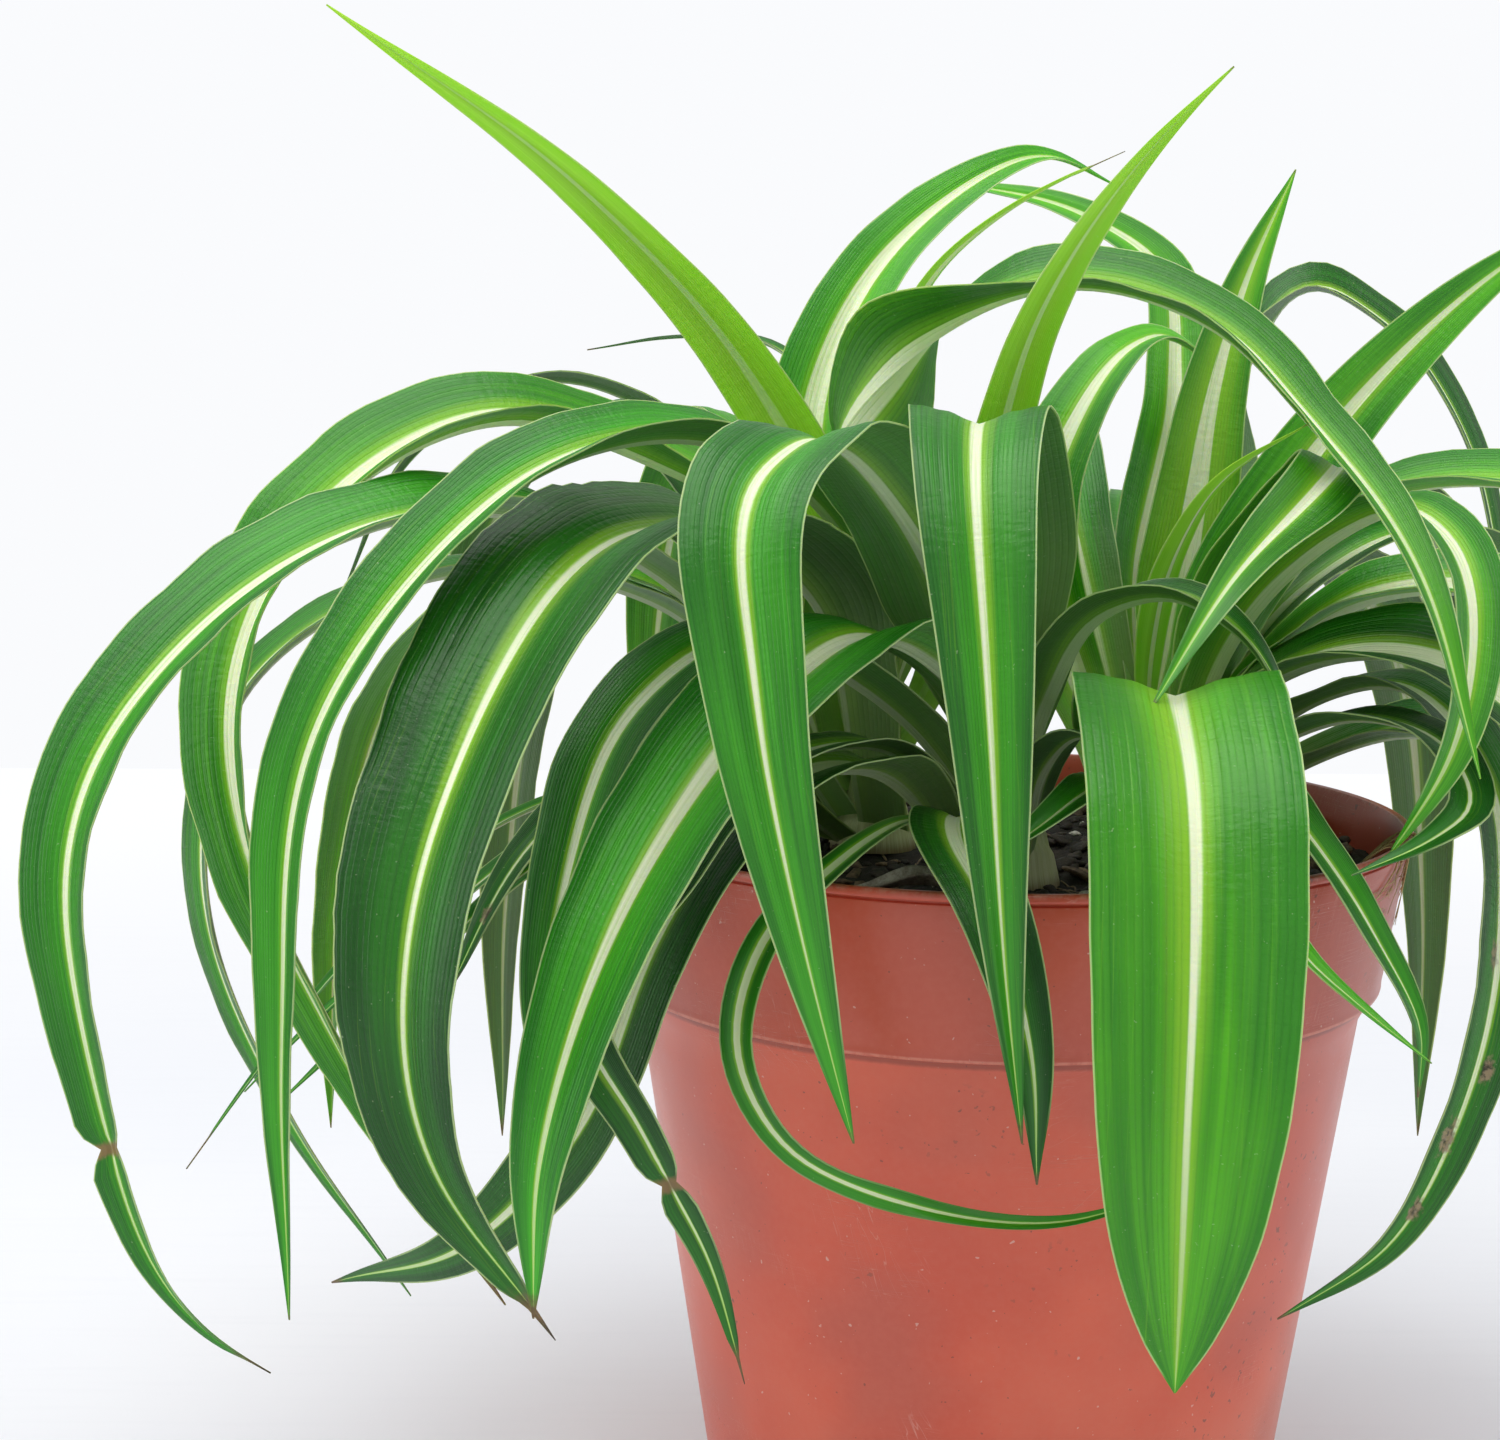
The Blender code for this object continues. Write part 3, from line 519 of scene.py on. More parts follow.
# What sets single leaves apart. Shares run from the base to the tip and across from -1 to 1.
LOOKS = {
    "left_far_arch": dict(stripe=0.13, halo_left=0.30, halo_right=0.16, kinks=(0.845,), dry=0.97,
        dark_tip=True),
    "left_high_arch": dict(stripe=0.24, halo_left=0.42, halo_right=0.20, shade=0.85, dry=0.965),
    "left_low_hang": dict(stripe=0.17, halo_left=0.30, halo_right=0.20, shade=0.95),
    "left_slender": dict(stripe=0.15, halo_left=0.20, halo_right=0.28, shade=1.1),
    "left_broad": dict(stripe=0.075, halo_left=0.30, halo_right=0.20, fine_ripple=0.7, dry=0.955,
        dark_tip=True, shade=0.95, ripple=0.5),
    "front_left_arch": dict(stripe=0.15, halo_left=0.12, halo_right=0.22, shade=1.25),
    "front_left_sweep": dict(stripe=0.17, halo_left=0.15, halo_right=0.3, dry=0.975),
    "front_fold_left": dict(stripe=0.095, halo_left=0.20, halo_right=0.16, shade=1.0),
    "front_fold_right": dict(stripe=0.10, halo_left=0.26, halo_right=0.16, shade=0.9),
    "front_right_broad": dict(stripe=0.085, halo_left=0.26, halo_right=0.50, shade=0.9, dry=0.992),
    "front_short": dict(stripe=0.16, halo_right=0.30),
    "front_thin_loop": dict(stripe=0.22, band=0.8, halo_left=0.3),
    "front_left_hang": dict(stripe=0.13, kinks=(0.80,), dry=0.955, dark_tip=True,
        halo_right=0.35),
    "top_left_spear": dict(stripe=0.14, band=0.35, halo_left=1.2, halo_right=1.0, pale=0.8,
        shade=1.15),
    "top_right_spear": dict(stripe=0.16, band=0.45, halo_left=0.6, halo_right=0.9, pale=0.8),
    "back_high_arch": dict(stripe=0.26, halo_left=0.18, halo_right=0.18),
    "back_left_reach": dict(stripe=0.26),
    "top_thin_spear": dict(stripe=0.5, band=0.6, dark_tip=True, dry=0.93, pale=0.9),
    "top_main_arch": dict(stripe=0.19, halo_left=0.30, halo_right=0.22, shade=0.72),
    "main_upright": dict(stripe=0.26, band_lines=0.7, halo_left=1.3, halo_right=1.3),
    "centre_arch": dict(stripe=0.26, halo_left=0.3, halo_right=0.4),
    "right_spear": dict(stripe=0.20, halo_left=0.3, halo_right=0.3),
    "right_curl": dict(stripe=0.26, halo_left=0.35, halo_right=0.35, shade=0.9),
    "right_fold_back": dict(stripe=0.20, halo_left=0.2, halo_right=0.4, shade=0.7),
    "centre_cup": dict(stripe=0.25, halo_left=0.35, halo_right=0.35),
    "centre_fold": dict(stripe=0.3, shade=0.75),
    "right_hang": dict(stripe=0.14, halo_left=0.15, halo_right=0.15, dry=0.98, shade=1.15,
        scars=((0.60, 0.25, 1.6), (0.70, -0.3, 1.3), (0.77, 0.25, 1.9),
        (0.84, 0.1, 1.4))),
    "left_under": dict(scars=((0.70, 0.2, 0.9), (0.86, -0.2, 1.1)), dry=0.95, dark_tip=True),
    "left_thin_lower": dict(kinks=(0.82,), dry=0.94, dark_tip=True),
    "right_stripe_upper": dict(stripe=0.30),
    "right_stripe_lower": dict(stripe=0.24),
    "back_left_thin": dict(stripe=0.1, band=0.4),
}


def read_leaf(node):
    """The sections of a leaf solid from base to tip: centre, one margin, the other, upper side."""
    mesh = frame["nodes"][node].data
    order = {}
    points = []
    at = []
    for vertex in mesh.vertices:
        key = tuple(round(c * 1e6) for c in vertex.co)
        if key not in order:
            order[key] = len(points)
            points.append(np.array(vertex.co))
        at.append(order[key])
    near = [set() for _ in points]
    for edge in mesh.edges:
        a, b = (at[i] for i in edge.vertices)
        if a != b:
            near[a].add(b)
            near[b].add(a)
    crowns = [sum(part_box(n), Vector()) / 2 for n in frame["nodes"] if n.startswith("crown_")]
    ends = []
    for start in range(len(points)):
        layers = [[start]]
        seen = {start}
        while True:
            after = sorted({b for a in layers[-1] for b in near[a]} - seen)
            if not after:
                break
            seen.update(after)
            layers.append(after)
        if len(layers[-1]) == 1 and all(len(layer) == 4 for layer in layers[1:-1]):
            away = min((Vector(points[start]) - c).length for c in crowns)
            ends.append((away, start, layers))
    if not ends:
        raise RuntimeError(f"{node} can't be read as a leaf")
    layers = min(ends)[2]
    sections = []
    before = None
    for index, layer in enumerate(layers[1:-1], 1):
        first = layer[0]
        rest = layer[1:]
        facing = max(rest, key=lambda p: p not in near[first])
        pairs = [(first, facing), tuple(p for p in rest if p != facing)]
        pairs.sort(key=lambda pair: -np.linalg.norm(points[pair[0]] - points[pair[1]]))
        margins, mids = pairs
        if before is None:
            fold = sum(points[p] for p in margins) / 2 - sum(points[p] for p in mids) / 2
            mids = sorted(mids, key=lambda p: -points[p] @ fold)
            upper = points[mids[0]] - points[mids[1]]
            centre = sum(points[p] for p in mids) / 2
            ahead = sum(points[p] for p in layers[index + 1]) / len(layers[index + 1]) - centre
            side = np.cross(ahead, upper)
            margins = sorted(margins, key=lambda p: points[p] @ side)
        else:
            mids = sorted(mids, key=lambda p: p not in near[before[2]])
            margins = sorted(margins, key=lambda p: p not in near[before[0]])
        before = (*margins, *mids)
        sections.append([points[p] for p in before])
    base = points[layers[0][0]]
    tip = points[layers[-1][0]]
    centre = [base] + [(s[2] + s[3]) / 2 for s in sections] + [tip]
    left = [s[0] - (s[2] + s[3]) / 2 for s in sections]
    right = [s[1] - (s[2] + s[3]) / 2 for s in sections]
    return np.array(centre) / MM, np.array(left) / MM, np.array(right) / MM


def leaf_mesh(name, node, look):
    """A closed blade with a channelled, pleated, slightly rippled surface along the solid's."""
    centre, left, right = read_leaf(node)
    places = np.concatenate([[0], np.cumsum(np.linalg.norm(np.diff(centre, axis=0), axis=1))])
    length = places[-1]
    look["length"] = length
    stations = int(np.clip(length / 1.7, 40, 130))
    rows = np.linspace(0, 1, stations)
    rows = length * (rows + 0.35 * np.sin(math.pi * rows) * (rows - 0.5) * 0.5)
    width_left = np.linalg.norm(left, axis=1)
    width_right = np.linalg.norm(right, axis=1)
    half_knots = (width_left + width_right) / 2
    half_knots = np.concatenate([[half_knots[0] * 0.96], half_knots, [0.12]])
    half = even_spline(places, half_knots, rows)
    widest = half.max()
    spans = int(np.clip(2 * round(widest / 0.8), 8, 28))
    path = natural_spline(places, centre, rows)
    inner = places[1:-1]
    held = np.clip(rows, inner[0], inner[-1])
    to_left = unit(natural_spline(inner, unit(left), held))
    to_right = unit(natural_spline(inner, unit(right), held))
    along = unit(np.gradient(path, axis=0))
    upper = unit(np.cross(to_right - to_left, along))
    share = rows / length

    # The sheath at the crown is a little broader than the solid's narrow foot.
    foot = look["sheath"] + (1 - look["sheath"]) * ease(share / 0.38)
    foot = np.where(share < 0.38, foot * np.interp(0.38, share, half), 0.0)
    half = np.maximum(half, foot)
    for knot in look["kinks"]:
        half *= 1 - 0.6 * np.exp(-(((share - knot) * length / 1.6) ** 2))
    if look["dark_tip"]:
        half *= 1 - 0.55 * ease((share - look["dry"]) / 0.02)
    columns = np.linspace(-1, 1, spans + 1)
    size = np.abs(columns)
    soft = 0.07
    to_l = (np.sqrt(columns**2 + soft**2) - columns) / 2
    to_r = (np.sqrt(columns**2 + soft**2) + columns) / 2
    calm = ease(share / 0.18) * ease((1 - share) / 0.06)
    ripple_scale = np.minimum(half, 9.0) / 9.0 * look["ripple"] * calm
    wave_left = wander(rows, (31, 19, 12.5), name + "l") * 0.85
    wave_right = wander(rows, (29, 17, 11.5), name + "r") * 0.85
    fine_left = wander(rows, (4.1, 2.9, 6.3), name + "fl") * 0.16
    fine_right = wander(rows, (4.3, 3.1, 5.7), name + "fr") * (0.16 + 0.30 * look["fine_ripple"])
    bow = np.sin(math.pi * np.minimum(size, 1)) * 0.055
    pleats = np.cos(size * math.pi * 5) * look["pleat"] * np.sin(math.pi * size)

    loops = []
    shares = []
    sizes = []
    for row in range(stations):
        spread = half[row] * (to_l[:, None] * to_left[row] + to_r[:, None] * to_right[row])
        lift = bow * half[row] + pleats * ripple_scale[row]
        wave = np.where(columns < 0, wave_left[row], wave_right[row]) * size**2.2
        edge = np.where(columns < 0, fine_left[row], fine_right[row]) * size**6
        lift = lift + (wave + edge) * ripple_scale[row]
        middle = path[row] + spread + lift[:, None] * upper[row]
        body = 0.5 * min(1.0, 0.35 + half[row] / 5)
        thick = body * (1 - 0.62 * size**1.6)
        keel = 0.42 * body * np.exp(-((columns / 0.07) ** 2)) * (1 - 0.7 * share[row])
        top = middle + (thick / 2)[:, None] * upper[row]
        bottom = middle - (thick / 2 + keel)[:, None] * upper[row]
        loops.append(np.concatenate([top, bottom[::-1]]))
        around = np.concatenate([columns, columns[::-1]])
        side = np.concatenate([np.ones(spans + 1), np.zeros(spans + 1)])
        shares.append(np.stack([around, np.full_like(around, share[row]), side], 1))
        sizes.append(np.stack([around * half[row], np.full_like(around, rows[row]),
                               np.full_like(around, half[row])], 1))
    ring = 2 * (spans + 1)
    faces = []
    maps = []
    for row in range(stations - 1):
        low = row * ring
        v0 = 0.01 + 0.98 * share[row]
        v1 = 0.01 + 0.98 * share[row + 1]
        for step in range(ring):
            after = (step + 1) % ring
            faces.append((low + step, low + after, low + ring + after, low + ring + step))
            u0 = sheet_u(step, spans)
            u1 = u0 + 0.47 / spans if step not in (spans, ring - 1) else u0 + 0.008
            maps.append(((u0, v0), (u1, v0), (u1, v1), (u0, v1)))
    for row, turned in ((0, True), (stations - 1, False)):
        low = row * ring
        v = 0.01 + 0.98 * share[row]
        for step in range(spans):
            quad = [low + step, low + step + 1, low + ring - 2 - step, low + ring - 1 - step]
            faces.append(tuple(quad[::-1]) if turned else tuple(quad))
            u = sheet_u(step, spans)
            maps.append(((u, v), (u, v), (u, v), (u, v)))
    mesh = new_mesh(name, np.concatenate(loops).tolist(), faces)
    store(mesh, "blade_share", np.concatenate(shares))
    store(mesh, "blade_mm", np.concatenate(sizes))
    uv = mesh.uv_layers.new(name="OFBake")
    uv.data.foreach_set("uv", np.array(maps, np.float32).ravel())
    mesh.shade_smooth()
    mesh.set_sharp_from_angle(angle=math.radians(50))
    return mesh


def sheet_u(step, spans):
    """Where a column of the blade lies on its flat layout: upper side left, underside right."""
    if step <= spans:
        return 0.01 + 0.47 * step / spans
    return 0.51 + 0.47 * (step - spans - 1) / spans


def make_leaves():
    for node in sorted(n for n in frame["nodes"] if n.startswith("leaf_")):
        key = node.removeprefix("leaf_")
        look = dict(DEFAULT_LOOK)
        chance = random.Random(key)
        look["stripe"] *= chance.uniform(0.85, 1.3)
        look["shade"] *= chance.uniform(0.9, 1.1)
        look["dry"] = chance.uniform(0.972, 0.995)
        if slot_of[node] in ("leaf_young", "leaf_light"):
            look.update(grey_under=0.15, glow=0.45)
        look.update(LOOKS.get(key, {}))
        name = "blade_" + key
        mesh = leaf_mesh(name, node, look)
        add_piece(name, mesh, leaf_material(name, slot_of[node], look), node)


# ---- Pot ----

POT_WALL = 1.5
POT_FLOOR = 2.0


def lathe(profile, segments, name):
    """Turn a closed profile of (radius, height) in millimetres; both its ends lie on the axis."""
    points = [(0, 0, profile[0][1])]
    for radius, height in profile[1:-1]:
        points += [polar(radius, math.tau * step / segments, height) for step in range(segments)]
    points.append((0, 0, profile[-1][1]))
    return capped_rings(name, points, segments)


def pot_levels():
    """Outer radius of the CAD pot at each height where its outline turns, in millimetres."""
    levels = {}
    for vertex in frame["nodes"]["pot"].data.vertices:
        x, y, z = (c / MM for c in vertex.co)
        height = round(z, 2)
        levels[height] = max(levels.get(height, 0.0), math.hypot(x, y))
    return sorted(levels.items())


def drain_holes():
    """Centres and radius of the round holes in the pot's floor."""
    floor_points = {}
    for vertex in frame["nodes"]["pot"].data.vertices:
        x, y, z = vertex.co
        away = math.hypot(x, y)
        if z < 0.0004 and 0.02 < away < 0.038:
            sector = int((math.atan2(y, x) % math.tau) / (math.pi / 4))
            floor_points.setdefault(sector, []).append((x, y))
    holes = []
    for ring in floor_points.values():
        x, y = np.mean(ring, axis=0)
        radius = max(math.hypot(px - x, py - y) for px, py in ring)
        holes.append((x, y, radius))
    return holes


def make_pot():
    """The pot's wall, collar, double lip and floor, in millimetres, on the CAD pot's outline."""
    low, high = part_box("pot")
    top = high.z / MM
    rim = (high.x - low.x) / 2 / MM
    outer = [(z, r) for z, r in pot_levels() if r > 0.6 * rim]
    heights = [z for z, r in outer]
    radii = [r for z, r in outer]

    def outside(z):
        return float(np.interp(z, heights, radii))

    # The collar's foot is where the outline steps outwards most within a millimetre.
    steps = [
        (after[1] - before[1], after[0])
        for before, after in zip(outer, outer[1:])
        if after[0] - before[0] < 1.0 and 0.3 * top < before[0] < 0.95 * top
    ]
    foot = max(steps)[1]
    base = radii[1]
    bend = 1.5
    profile = [(0.0, 0.9), (base - 9, 0.9), (base - 8.2, 0.75)]
    profile += [(base - 7.6, 0.1), (base - 7.2, 0.0), (base - 2.0, 0.0)]
    for index in range(7):
        turn = math.radians(15 * index)
        profile.append((base - 1.4 + bend * math.sin(turn), bend * (1 - math.cos(turn))))
    for share in np.linspace(0.04, 0.955, 22):
        profile.append((outside(foot * share) - 0.02, foot * share))
    # The step out to the collar.
    under = outside(foot - 0.6)
    lip = outside(foot + 0.8)
    profile += [(under, foot - 1.0), (under + 0.05, foot - 0.35), (under + 0.25, foot - 0.08)]
    profile += [(lip - 0.28, foot), (lip - 0.08, foot + 0.12), (lip, foot + 0.4)]
    profile += [(lip + 0.02, foot + 0.9), (lip + 0.05, foot + 1.5)]
    for share in np.linspace(0.10, 0.90, 8):
        z = foot + (top - 2.2 - foot) * share
        profile.append((outside(z) - 0.03, z))
    # The groove under the lip, the lip and the mouth.
    groove = outside(top - 2.0)
    profile += [(groove - 0.02, top - 2.0), (groove - 0.06, top - 1.75)]
    profile += [(groove - 0.40, top - 1.55), (groove - 0.42, top - 1.30)]
    profile += [(rim - 0.22, top - 1.15), (rim - 0.04, top - 0.95), (rim, top - 0.6)]
    profile += [(rim - 0.04, top - 0.3), (rim - 0.18, top - 0.10), (rim - 0.42, top)]
    profile += [(rim - 1.15, top), (rim - 1.40, top - 0.10), (rim - POT_WALL, top - 0.35)]
    # Down the inside.
    for share in np.linspace(0.06, 1.0, 8):
        z = top - (top - foot) * share
        profile.append((outside(max(z, foot + 0.9)) - POT_WALL, z))
    inner_step = foot - 1.6
    profile += [(outside(inner_step) - POT_WALL, inner_step)]
    for share in np.linspace(0.1, 0.93, 8):
        z = inner_step * (1 - share) + POT_FLOOR * share
        profile.append((outside(z) - POT_WALL, z))
    profile += [(base - POT_WALL - 0.6, POT_FLOOR + 0.4), (base - POT_WALL - 1.6, POT_FLOOR)]
    profile += [(0.0, POT_FLOOR)]
    mesh = cut_holes(lathe(profile, 180, "pot_body"), drain_holes())
    mesh.shade_smooth()
    mesh.set_sharp_from_angle(angle=math.radians(42))
    add_piece("pot_body", mesh, pot_material(foot, top), "pot")
    return outside, top


def cut_holes(mesh, holes):
    """The turned mesh with round holes through its floor."""
    turned = add_object("turned", mesh)
    cutters = []
    for x, y, radius in holes:
        bpy.ops.mesh.primitive_cylinder_add(vertices=40, radius=radius, depth=0.012,
                                            location=(x, y, 0.001))
        cutter = bpy.context.active_object
        cutters.append(cutter)
        cut = turned.modifiers.new("cut", "BOOLEAN")
        cut.operation = "DIFFERENCE"
        cut.solver = "EXACT"
        cut.object = cutter
    depsgraph = bpy.context.evaluated_depsgraph_get()
    result = bpy.data.meshes.new_from_object(turned.evaluated_get(depsgraph))
    for item in cutters + [turned]:
        bpy.data.objects.remove(item)
    return result


# ---- Soil, crowns, roots ----

def soil_relief(x, y):
    """Height of the soil's surface above its mean, in millimetres."""
    spot = Vector((x, y, 3.0))
    broad = noise.noise(spot * 0.035) * 1.1
    clods = noise.noise(spot * 0.16) * 0.9
    crumbs = noise.noise(spot * 0.55) * 0.55 + noise.noise(spot * 1.3) * 0.28
    return broad + clods + crumbs


def make_soil():
    low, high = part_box("soil")
    level = high.z / MM - 0.4
    reach = (high.x - low.x) / 2 / MM
    rings = 74
    segments = 230
    wall_height, wall_radius = 60, 49
    floor_radius = 41
    points = [(0.0, 0.0, level + soil_relief(0, 0))]
    for ring in range(1, rings + 1):
        sink = 1.3 * max(0.0, (ring / rings - 0.93) / 0.07)
        for step in range(segments):
            angle = math.tau * (step + 0.5 * (ring % 2)) / segments
            x, y, height = polar(reach * ring / rings, angle, level)
            points.append((x, y, height + soil_relief(x, y) - sink))
    bottom = low.z / MM
    side = ((level - 4, reach - 0.3), (wall_height, wall_radius), (bottom, floor_radius))
    for height, radius in side:
        points += [polar(radius, math.tau * step / segments, height) for step in range(segments)]
    points.append((0.0, 0.0, bottom))
    mesh = capped_rings("soil_surface", points, segments, from_top=True)
    mesh.shade_smooth()
    add_piece("soil_surface", mesh, soil_material(), "soil")
    return level, reach


def soil_spot(chance, reach):
    """A random place on the soil: x and y in millimetres."""
    radius = reach * math.sqrt(chance.random())
    return polar(radius, chance.uniform(0, math.tau), 0)[:2]


def scatter(name, material, count, reach, level, sizes, seed, flat=0.7, long=1.6):
    """Many small irregular grains lying on the soil, as one piece."""
    chance = random.Random(seed)
    build = bmesh.new()
    for _ in range(count):
        x, y = soil_spot(chance, reach - 2)
        size = chance.uniform(*sizes)
        turn = Euler([chance.uniform(-0.5, 0.5), chance.uniform(-0.5, 0.5),
                      chance.uniform(0, 6.3)]).to_matrix().to_4x4()
        shape = Matrix.Diagonal((size * chance.uniform(1, long), size * chance.uniform(0.7, 1),
                                 size * flat * chance.uniform(0.6, 1), 1))
        where = Matrix.Translation((x, y, level + soil_relief(x, y) + size * 0.25))
        made = bmesh.ops.create_icosphere(build, subdivisions=2, radius=1.0)
        shift = Vector((chance.uniform(0, 99), chance.uniform(0, 99), 0))
        for vertex in made["verts"]:
            vertex.co *= 1 + 0.55 * noise.noise(vertex.co * 1.3 + shift)
            vertex.co = (where @ turn @ shape @ vertex.co) * MM
    mesh = bpy.data.meshes.new(name)
    build.to_mesh(mesh)
    build.free()
    mesh.shade_smooth()
    add_piece(name, mesh, material, slot="potting_soil")


def tube(build, path, radii, sides=6):
    """Add a closed round strand along a path, in millimetres, to a bmesh."""
    path = [Vector(p) for p in path]
    rings = []
    guide = Vector((0.3, 0.5, 0.81))
    for index, point in enumerate(path):
        ahead = path[min(index + 1, len(path) - 1)] - path[max(index - 1, 0)]
        ahead.normalize()
        first = ahead.cross(guide).normalized()
        second = ahead.cross(first)
        ring = []
        for step in range(sides):
            angle = math.tau * step / sides
            off = (first * math.cos(angle) + second * math.sin(angle)) * radii[index]
            ring.append(build.verts.new((point + off) * MM))
        rings.append(ring)
    for low, high in zip(rings, rings[1:]):
        for step in range(sides):
            after = (step + 1) % sides
            build.faces.new((low[step], high[step], high[after], low[after]))
    build.faces.new(rings[0])
    build.faces.new(rings[-1][::-1])


def finish_strands(name, build, material):
    bmesh.ops.recalc_face_normals(build, faces=build.faces)
    mesh = bpy.data.meshes.new(name)
    build.to_mesh(mesh)
    build.free()
    mesh.shade_smooth()
    add_piece(name, mesh, material, slot="potting_soil")


def make_soil_fibres(reach, level):
    """Wood fibres and fine dead roots lying on the soil."""
    chance = random.Random(21)
    build = bmesh.new()
    for _ in range(150):
        x, y = soil_spot(chance, reach - 5)
        heading = chance.uniform(0, math.tau)
        length = chance.uniform(3, 10)
        thick = chance.uniform(0.12, 0.38)
        path = []
        for _ in range(8):
            heading += chance.uniform(-0.3, 0.3)
            x += math.cos(heading) * length / 8
            y += math.sin(heading) * length / 8
            if math.hypot(x, y) > reach - 1:
                break
            path.append((x, y, level + soil_relief(x, y) + thick * 0.6))
        if len(path) > 2:
            radii = [thick * (0.5 + 0.5 * math.sin(math.pi * (i + 0.7) / (len(path) + 0.4)))
                     for i in range(len(path))]
            tube(build, path, radii, 5)
    material = fibre_material("wood_fibre", (0.10, 0.060, 0.030), (0.34, 0.24, 0.14))
    finish_strands("soil_fibres", build, material)


def make_dead_stub(level):
    """The grey, shrivelled stub of an old leaf lying on the soil at the front."""
    count, columns = 26, 8
    path = []
    for index in range(count):
        t = index / (count - 1)
        height = level + 1.2 + 3.2 * math.sin(3 * t) ** 2
        path.append((-26 + 24 * t, -37 - 4.5 * math.sin(2.4 * t), height))
    build = bmesh.new()
    rows = []
    for index, point in enumerate(path):
        t = index / (count - 1)
        wide = 2.5 * math.sin(math.pi * min(1, 0.12 + 0.9 * t)) ** 0.7 + 0.2
        row = []
        for column in range(columns + 1):
            u = 2 * column / columns - 1
            curl = 1.3 * (u * u) + 0.35 * math.sin(9 * t + 4 * u)
            x = point[0] + 0.5 * u * math.sin(7 * t)
            row.append((x, point[1] + wide * u * 0.8, point[2] + curl))
        rows.append(row)
    verts = [[build.verts.new(Vector(p) * MM) for p in row] for row in rows]
    for low, high in zip(verts, verts[1:]):
        for column in range(columns):
            build.faces.new((low[column], high[column], high[column + 1], low[column + 1]))
    bmesh.ops.recalc_face_normals(build, faces=build.faces)
    bmesh.ops.solidify(build, geom=build.faces[:], thickness=0.35 * MM)
    material = fibre_material("dead_leaf", (0.17, 0.145, 0.115), (0.42, 0.39, 0.32))
    finish_strands("soil_dead_leaf", build, material)


def make_roots(outside, top):
    """Pale golden root hairs that climb over the rim at the right and hang down outside."""
    chance = random.Random(5)
    build = bmesh.new()

    def hang(angle, drop, thick, start_height, depth=0):
        path = []
        z = start_height
        steps = 26
        turn = angle
        swing = chance.uniform(-0.004, 0.004)
        for index in range(steps):
            radius = outside(min(z, top - 0.4)) + thick + 0.12
            path.append(polar(radius, turn, z))
            z -= drop / steps
            swing += chance.uniform(-0.006, 0.006)
            swing *= 0.9
            turn += swing
            if depth < 2 and chance.random() < 0.10:
                hang(turn, (drop * (1 - index / steps)) * chance.uniform(0.3, 0.8),
                     thick * 0.6, z, depth + 1)
        radii = [thick * (1 - 0.75 * i / steps) for i in range(steps)]
        tube(build, path, radii, 5)

    for index in range(9):
        angle = math.radians(chance.uniform(-29, -13))
        thick = chance.uniform(0.09, 0.17)
        drop = chance.uniform(5, 15)
        hang(angle, drop, thick, top - 0.5)
        # The stretch over the mouth of the pot.
        rim = outside(top - 0.6)
        inside = []
        for step in range(14):
            t = step / 13
            radius = rim + thick + 0.1 - 7.5 * t
            rise = top + thick + 0.05 - max(0.0, t - 0.28) ** 1.3 * 7.5
            if t < 0.08:
                rise -= 0.35
            sway = angle + 0.05 * math.sin(3 * t + index)
            inside.append(polar(radius, sway, rise))
        tube(build, inside, [thick] * 14, 5)
    material = fibre_material("root_hair", (0.42, 0.27, 0.10), (0.68, 0.50, 0.24))
    finish_strands("root_hairs", build, material)


def make_crown(node, material):
    """A stem wrapped in pale ribbed sheaths, each a little lower than the one inside it."""
    low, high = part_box(node)
    middle = (low + high) / 2
    radius = (high.x - low.x) / 2 / MM
    tall = (high.z - low.z) / MM
    chance = random.Random(node)
    phase = [chance.uniform(0, 6.3) for _ in range(6)]
    rings = 44
    segments = 96
    points = []
    places = []
    for ring in range(rings):
        rise = ring / (rings - 1)
        for step in range(segments):
            turn = math.tau * step / segments
            size = radius * (1 - rise) ** 0.75 * 0.97
            layer = 0.0
            for index, share in enumerate((0.30, 0.48, 0.66, 0.82)):
                brink = share + 0.10 * math.cos(turn - phase[index])
                if rise < brink:
                    layer += 1
                    size += 0.12 * radius * 0.55 * min(1, (brink - rise) / 0.05)
            ribs = 0.02 * math.sin(turn * 17 + phase[4]) + 0.03 * math.sin(3 * turn + phase[5])
            size *= 0.80 + ribs
            size = min(size, radius * 1.02) if rise < 0.98 else 0.15
            points.append((middle.x + size * math.cos(turn) * MM,
                           middle.y + size * math.sin(turn) * MM,
                           low.z - 1.2 * MM + (tall + 0.8) * rise * MM))
            places.append((turn, rise, layer))
    last = (rings - 1) * segments
    faces = [tuple(range(segments))[::-1], tuple(range(last, last + segments))]
    for ring in range(rings - 1):
        for step in range(segments):
            after = (step + 1) % segments
            a = ring * segments
            b = a + segments
            faces.append((a + step, a + after, b + after, b + step))
    mesh = bpy.data.meshes.new(node + "_sheaths")
    mesh.from_pydata(points, [], faces)
    store(mesh, "crown_place", places)
    mesh.shade_smooth()
    mesh.set_sharp_from_angle(angle=math.radians(55))
    add_piece(node + "_sheaths", mesh, material, node)


# ---- Stage, light and camera ----

def area_light(name, place, target, size, power, colour=(1, 1, 1)):
    data = bpy.data.lights.new(name, "AREA")
    data.shape = "RECTANGLE"
    data.size, data.size_y = size
    data.energy = power
    data.color = colour
    light = add_object(name, data)
    light.location = place
    light.rotation_euler = (Vector(target) - Vector(place)).to_track_quat("-Z", "Y").to_euler()


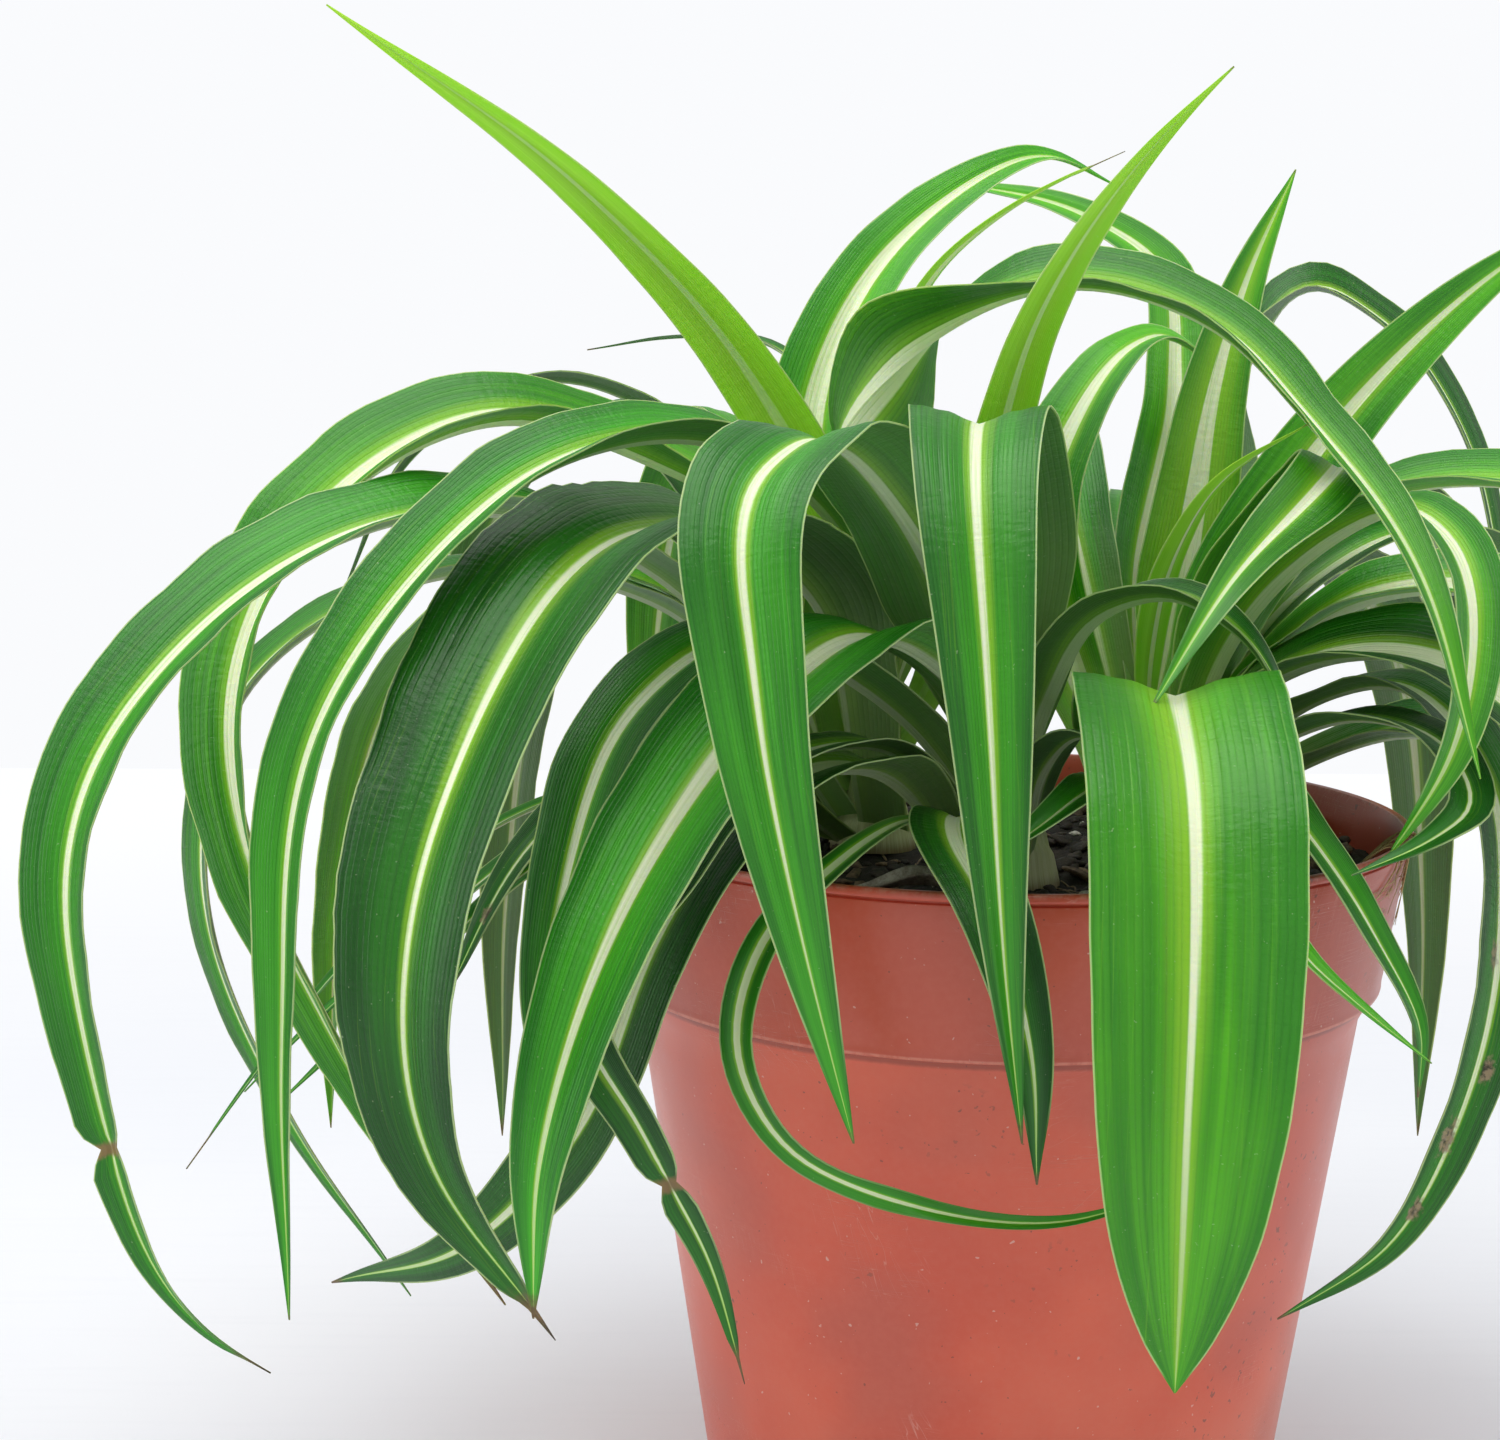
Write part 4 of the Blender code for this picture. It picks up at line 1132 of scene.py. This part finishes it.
def make_stage():
    bpy.ops.mesh.primitive_plane_add(size=1)
    floor = bpy.context.active_object
    floor.name = "floor"
    floor.data.transform(Matrix.Diagonal((5.0, 3.6, 1, 1)))
    floor.data.transform(Matrix.Translation((0, -1.09, -0.0004)))
    floor.data.materials.append(floor_material())

    world = bpy.data.worlds.new("studio")
    bpy.context.scene.world = world
    world.use_nodes = True
    # The white backdrop is seen at full brightness, and lights the plant a little less.
    shade = world.node_tree.nodes["Background"]
    rays = world.node_tree.nodes.new("ShaderNodeLightPath")
    level_of = world.node_tree.nodes.new("ShaderNodeMapRange")
    level_of.inputs["To Min"].default_value = 0.50
    world.node_tree.links.new(rays.outputs["Is Camera Ray"], level_of.inputs["Value"])
    world.node_tree.links.new(level_of.outputs[0], shade.inputs["Strength"])
    shade.inputs["Color"].default_value = (*BACKDROP, 1)
    area_light("top", (-0.15, -0.10, 1.10), (0, 0, 0.12), (1.2, 1.0), 9.5, (1.0, 0.995, 0.98))
    area_light("left", (-1.00, -0.25, 0.45), (0, 0, 0.12), (0.5, 1.1), 3.2, (0.98, 0.99, 1.0))
    area_light("right", (1.00, 0.05, 0.40), (0, 0, 0.12), (0.5, 1.1), 2.6, (0.98, 0.99, 1.0))
    area_light("front", (0.25, -1.30, 0.65), (0, 0, 0.10), (1.2, 0.9), 1.8)

    data = bpy.data.cameras.new("camera")
    data.lens = 60
    data.sensor_width = 36
    data.clip_start = 0.01
    camera = add_object("camera", data)
    camera.location = (-0.0367, -0.3658, 0.1728)
    pitch = Euler((math.radians(82.03), 0, 0)).to_matrix()
    lean = Matrix.Rotation(math.radians(0.25), 3, "Z")
    camera.rotation_euler = (pitch @ lean).to_euler()
    bpy.context.scene.camera = camera
    bpy.context.scene.view_settings.view_transform = "Standard"


crown_flesh = crown_material()
outside, top = make_pot()
level, reach = make_soil()
crumb = fibre_material("peat_crumb", (0.010, 0.007, 0.005), (0.050, 0.033, 0.021))
scatter("soil_crumbs", crumb, 620, reach, level, (0.45, 1.5), 11)
bark = fibre_material("bark_chip", (0.060, 0.036, 0.020), (0.20, 0.13, 0.075))
scatter("soil_bark", bark, 90, reach, level, (0.8, 2.0), 12, flat=0.4, long=2.4)
grit = fibre_material("pale_grit", (0.40, 0.36, 0.29), (0.70, 0.67, 0.60))
scatter("soil_grit", grit, 60, reach, level, (0.35, 0.95), 13)
make_soil_fibres(reach, level)
make_dead_stub(level)
make_roots(outside, top)
for crown_node in sorted(n for n in frame["nodes"] if n.startswith("crown_")):
    make_crown(crown_node, crown_flesh)
make_leaves()
make_stage()
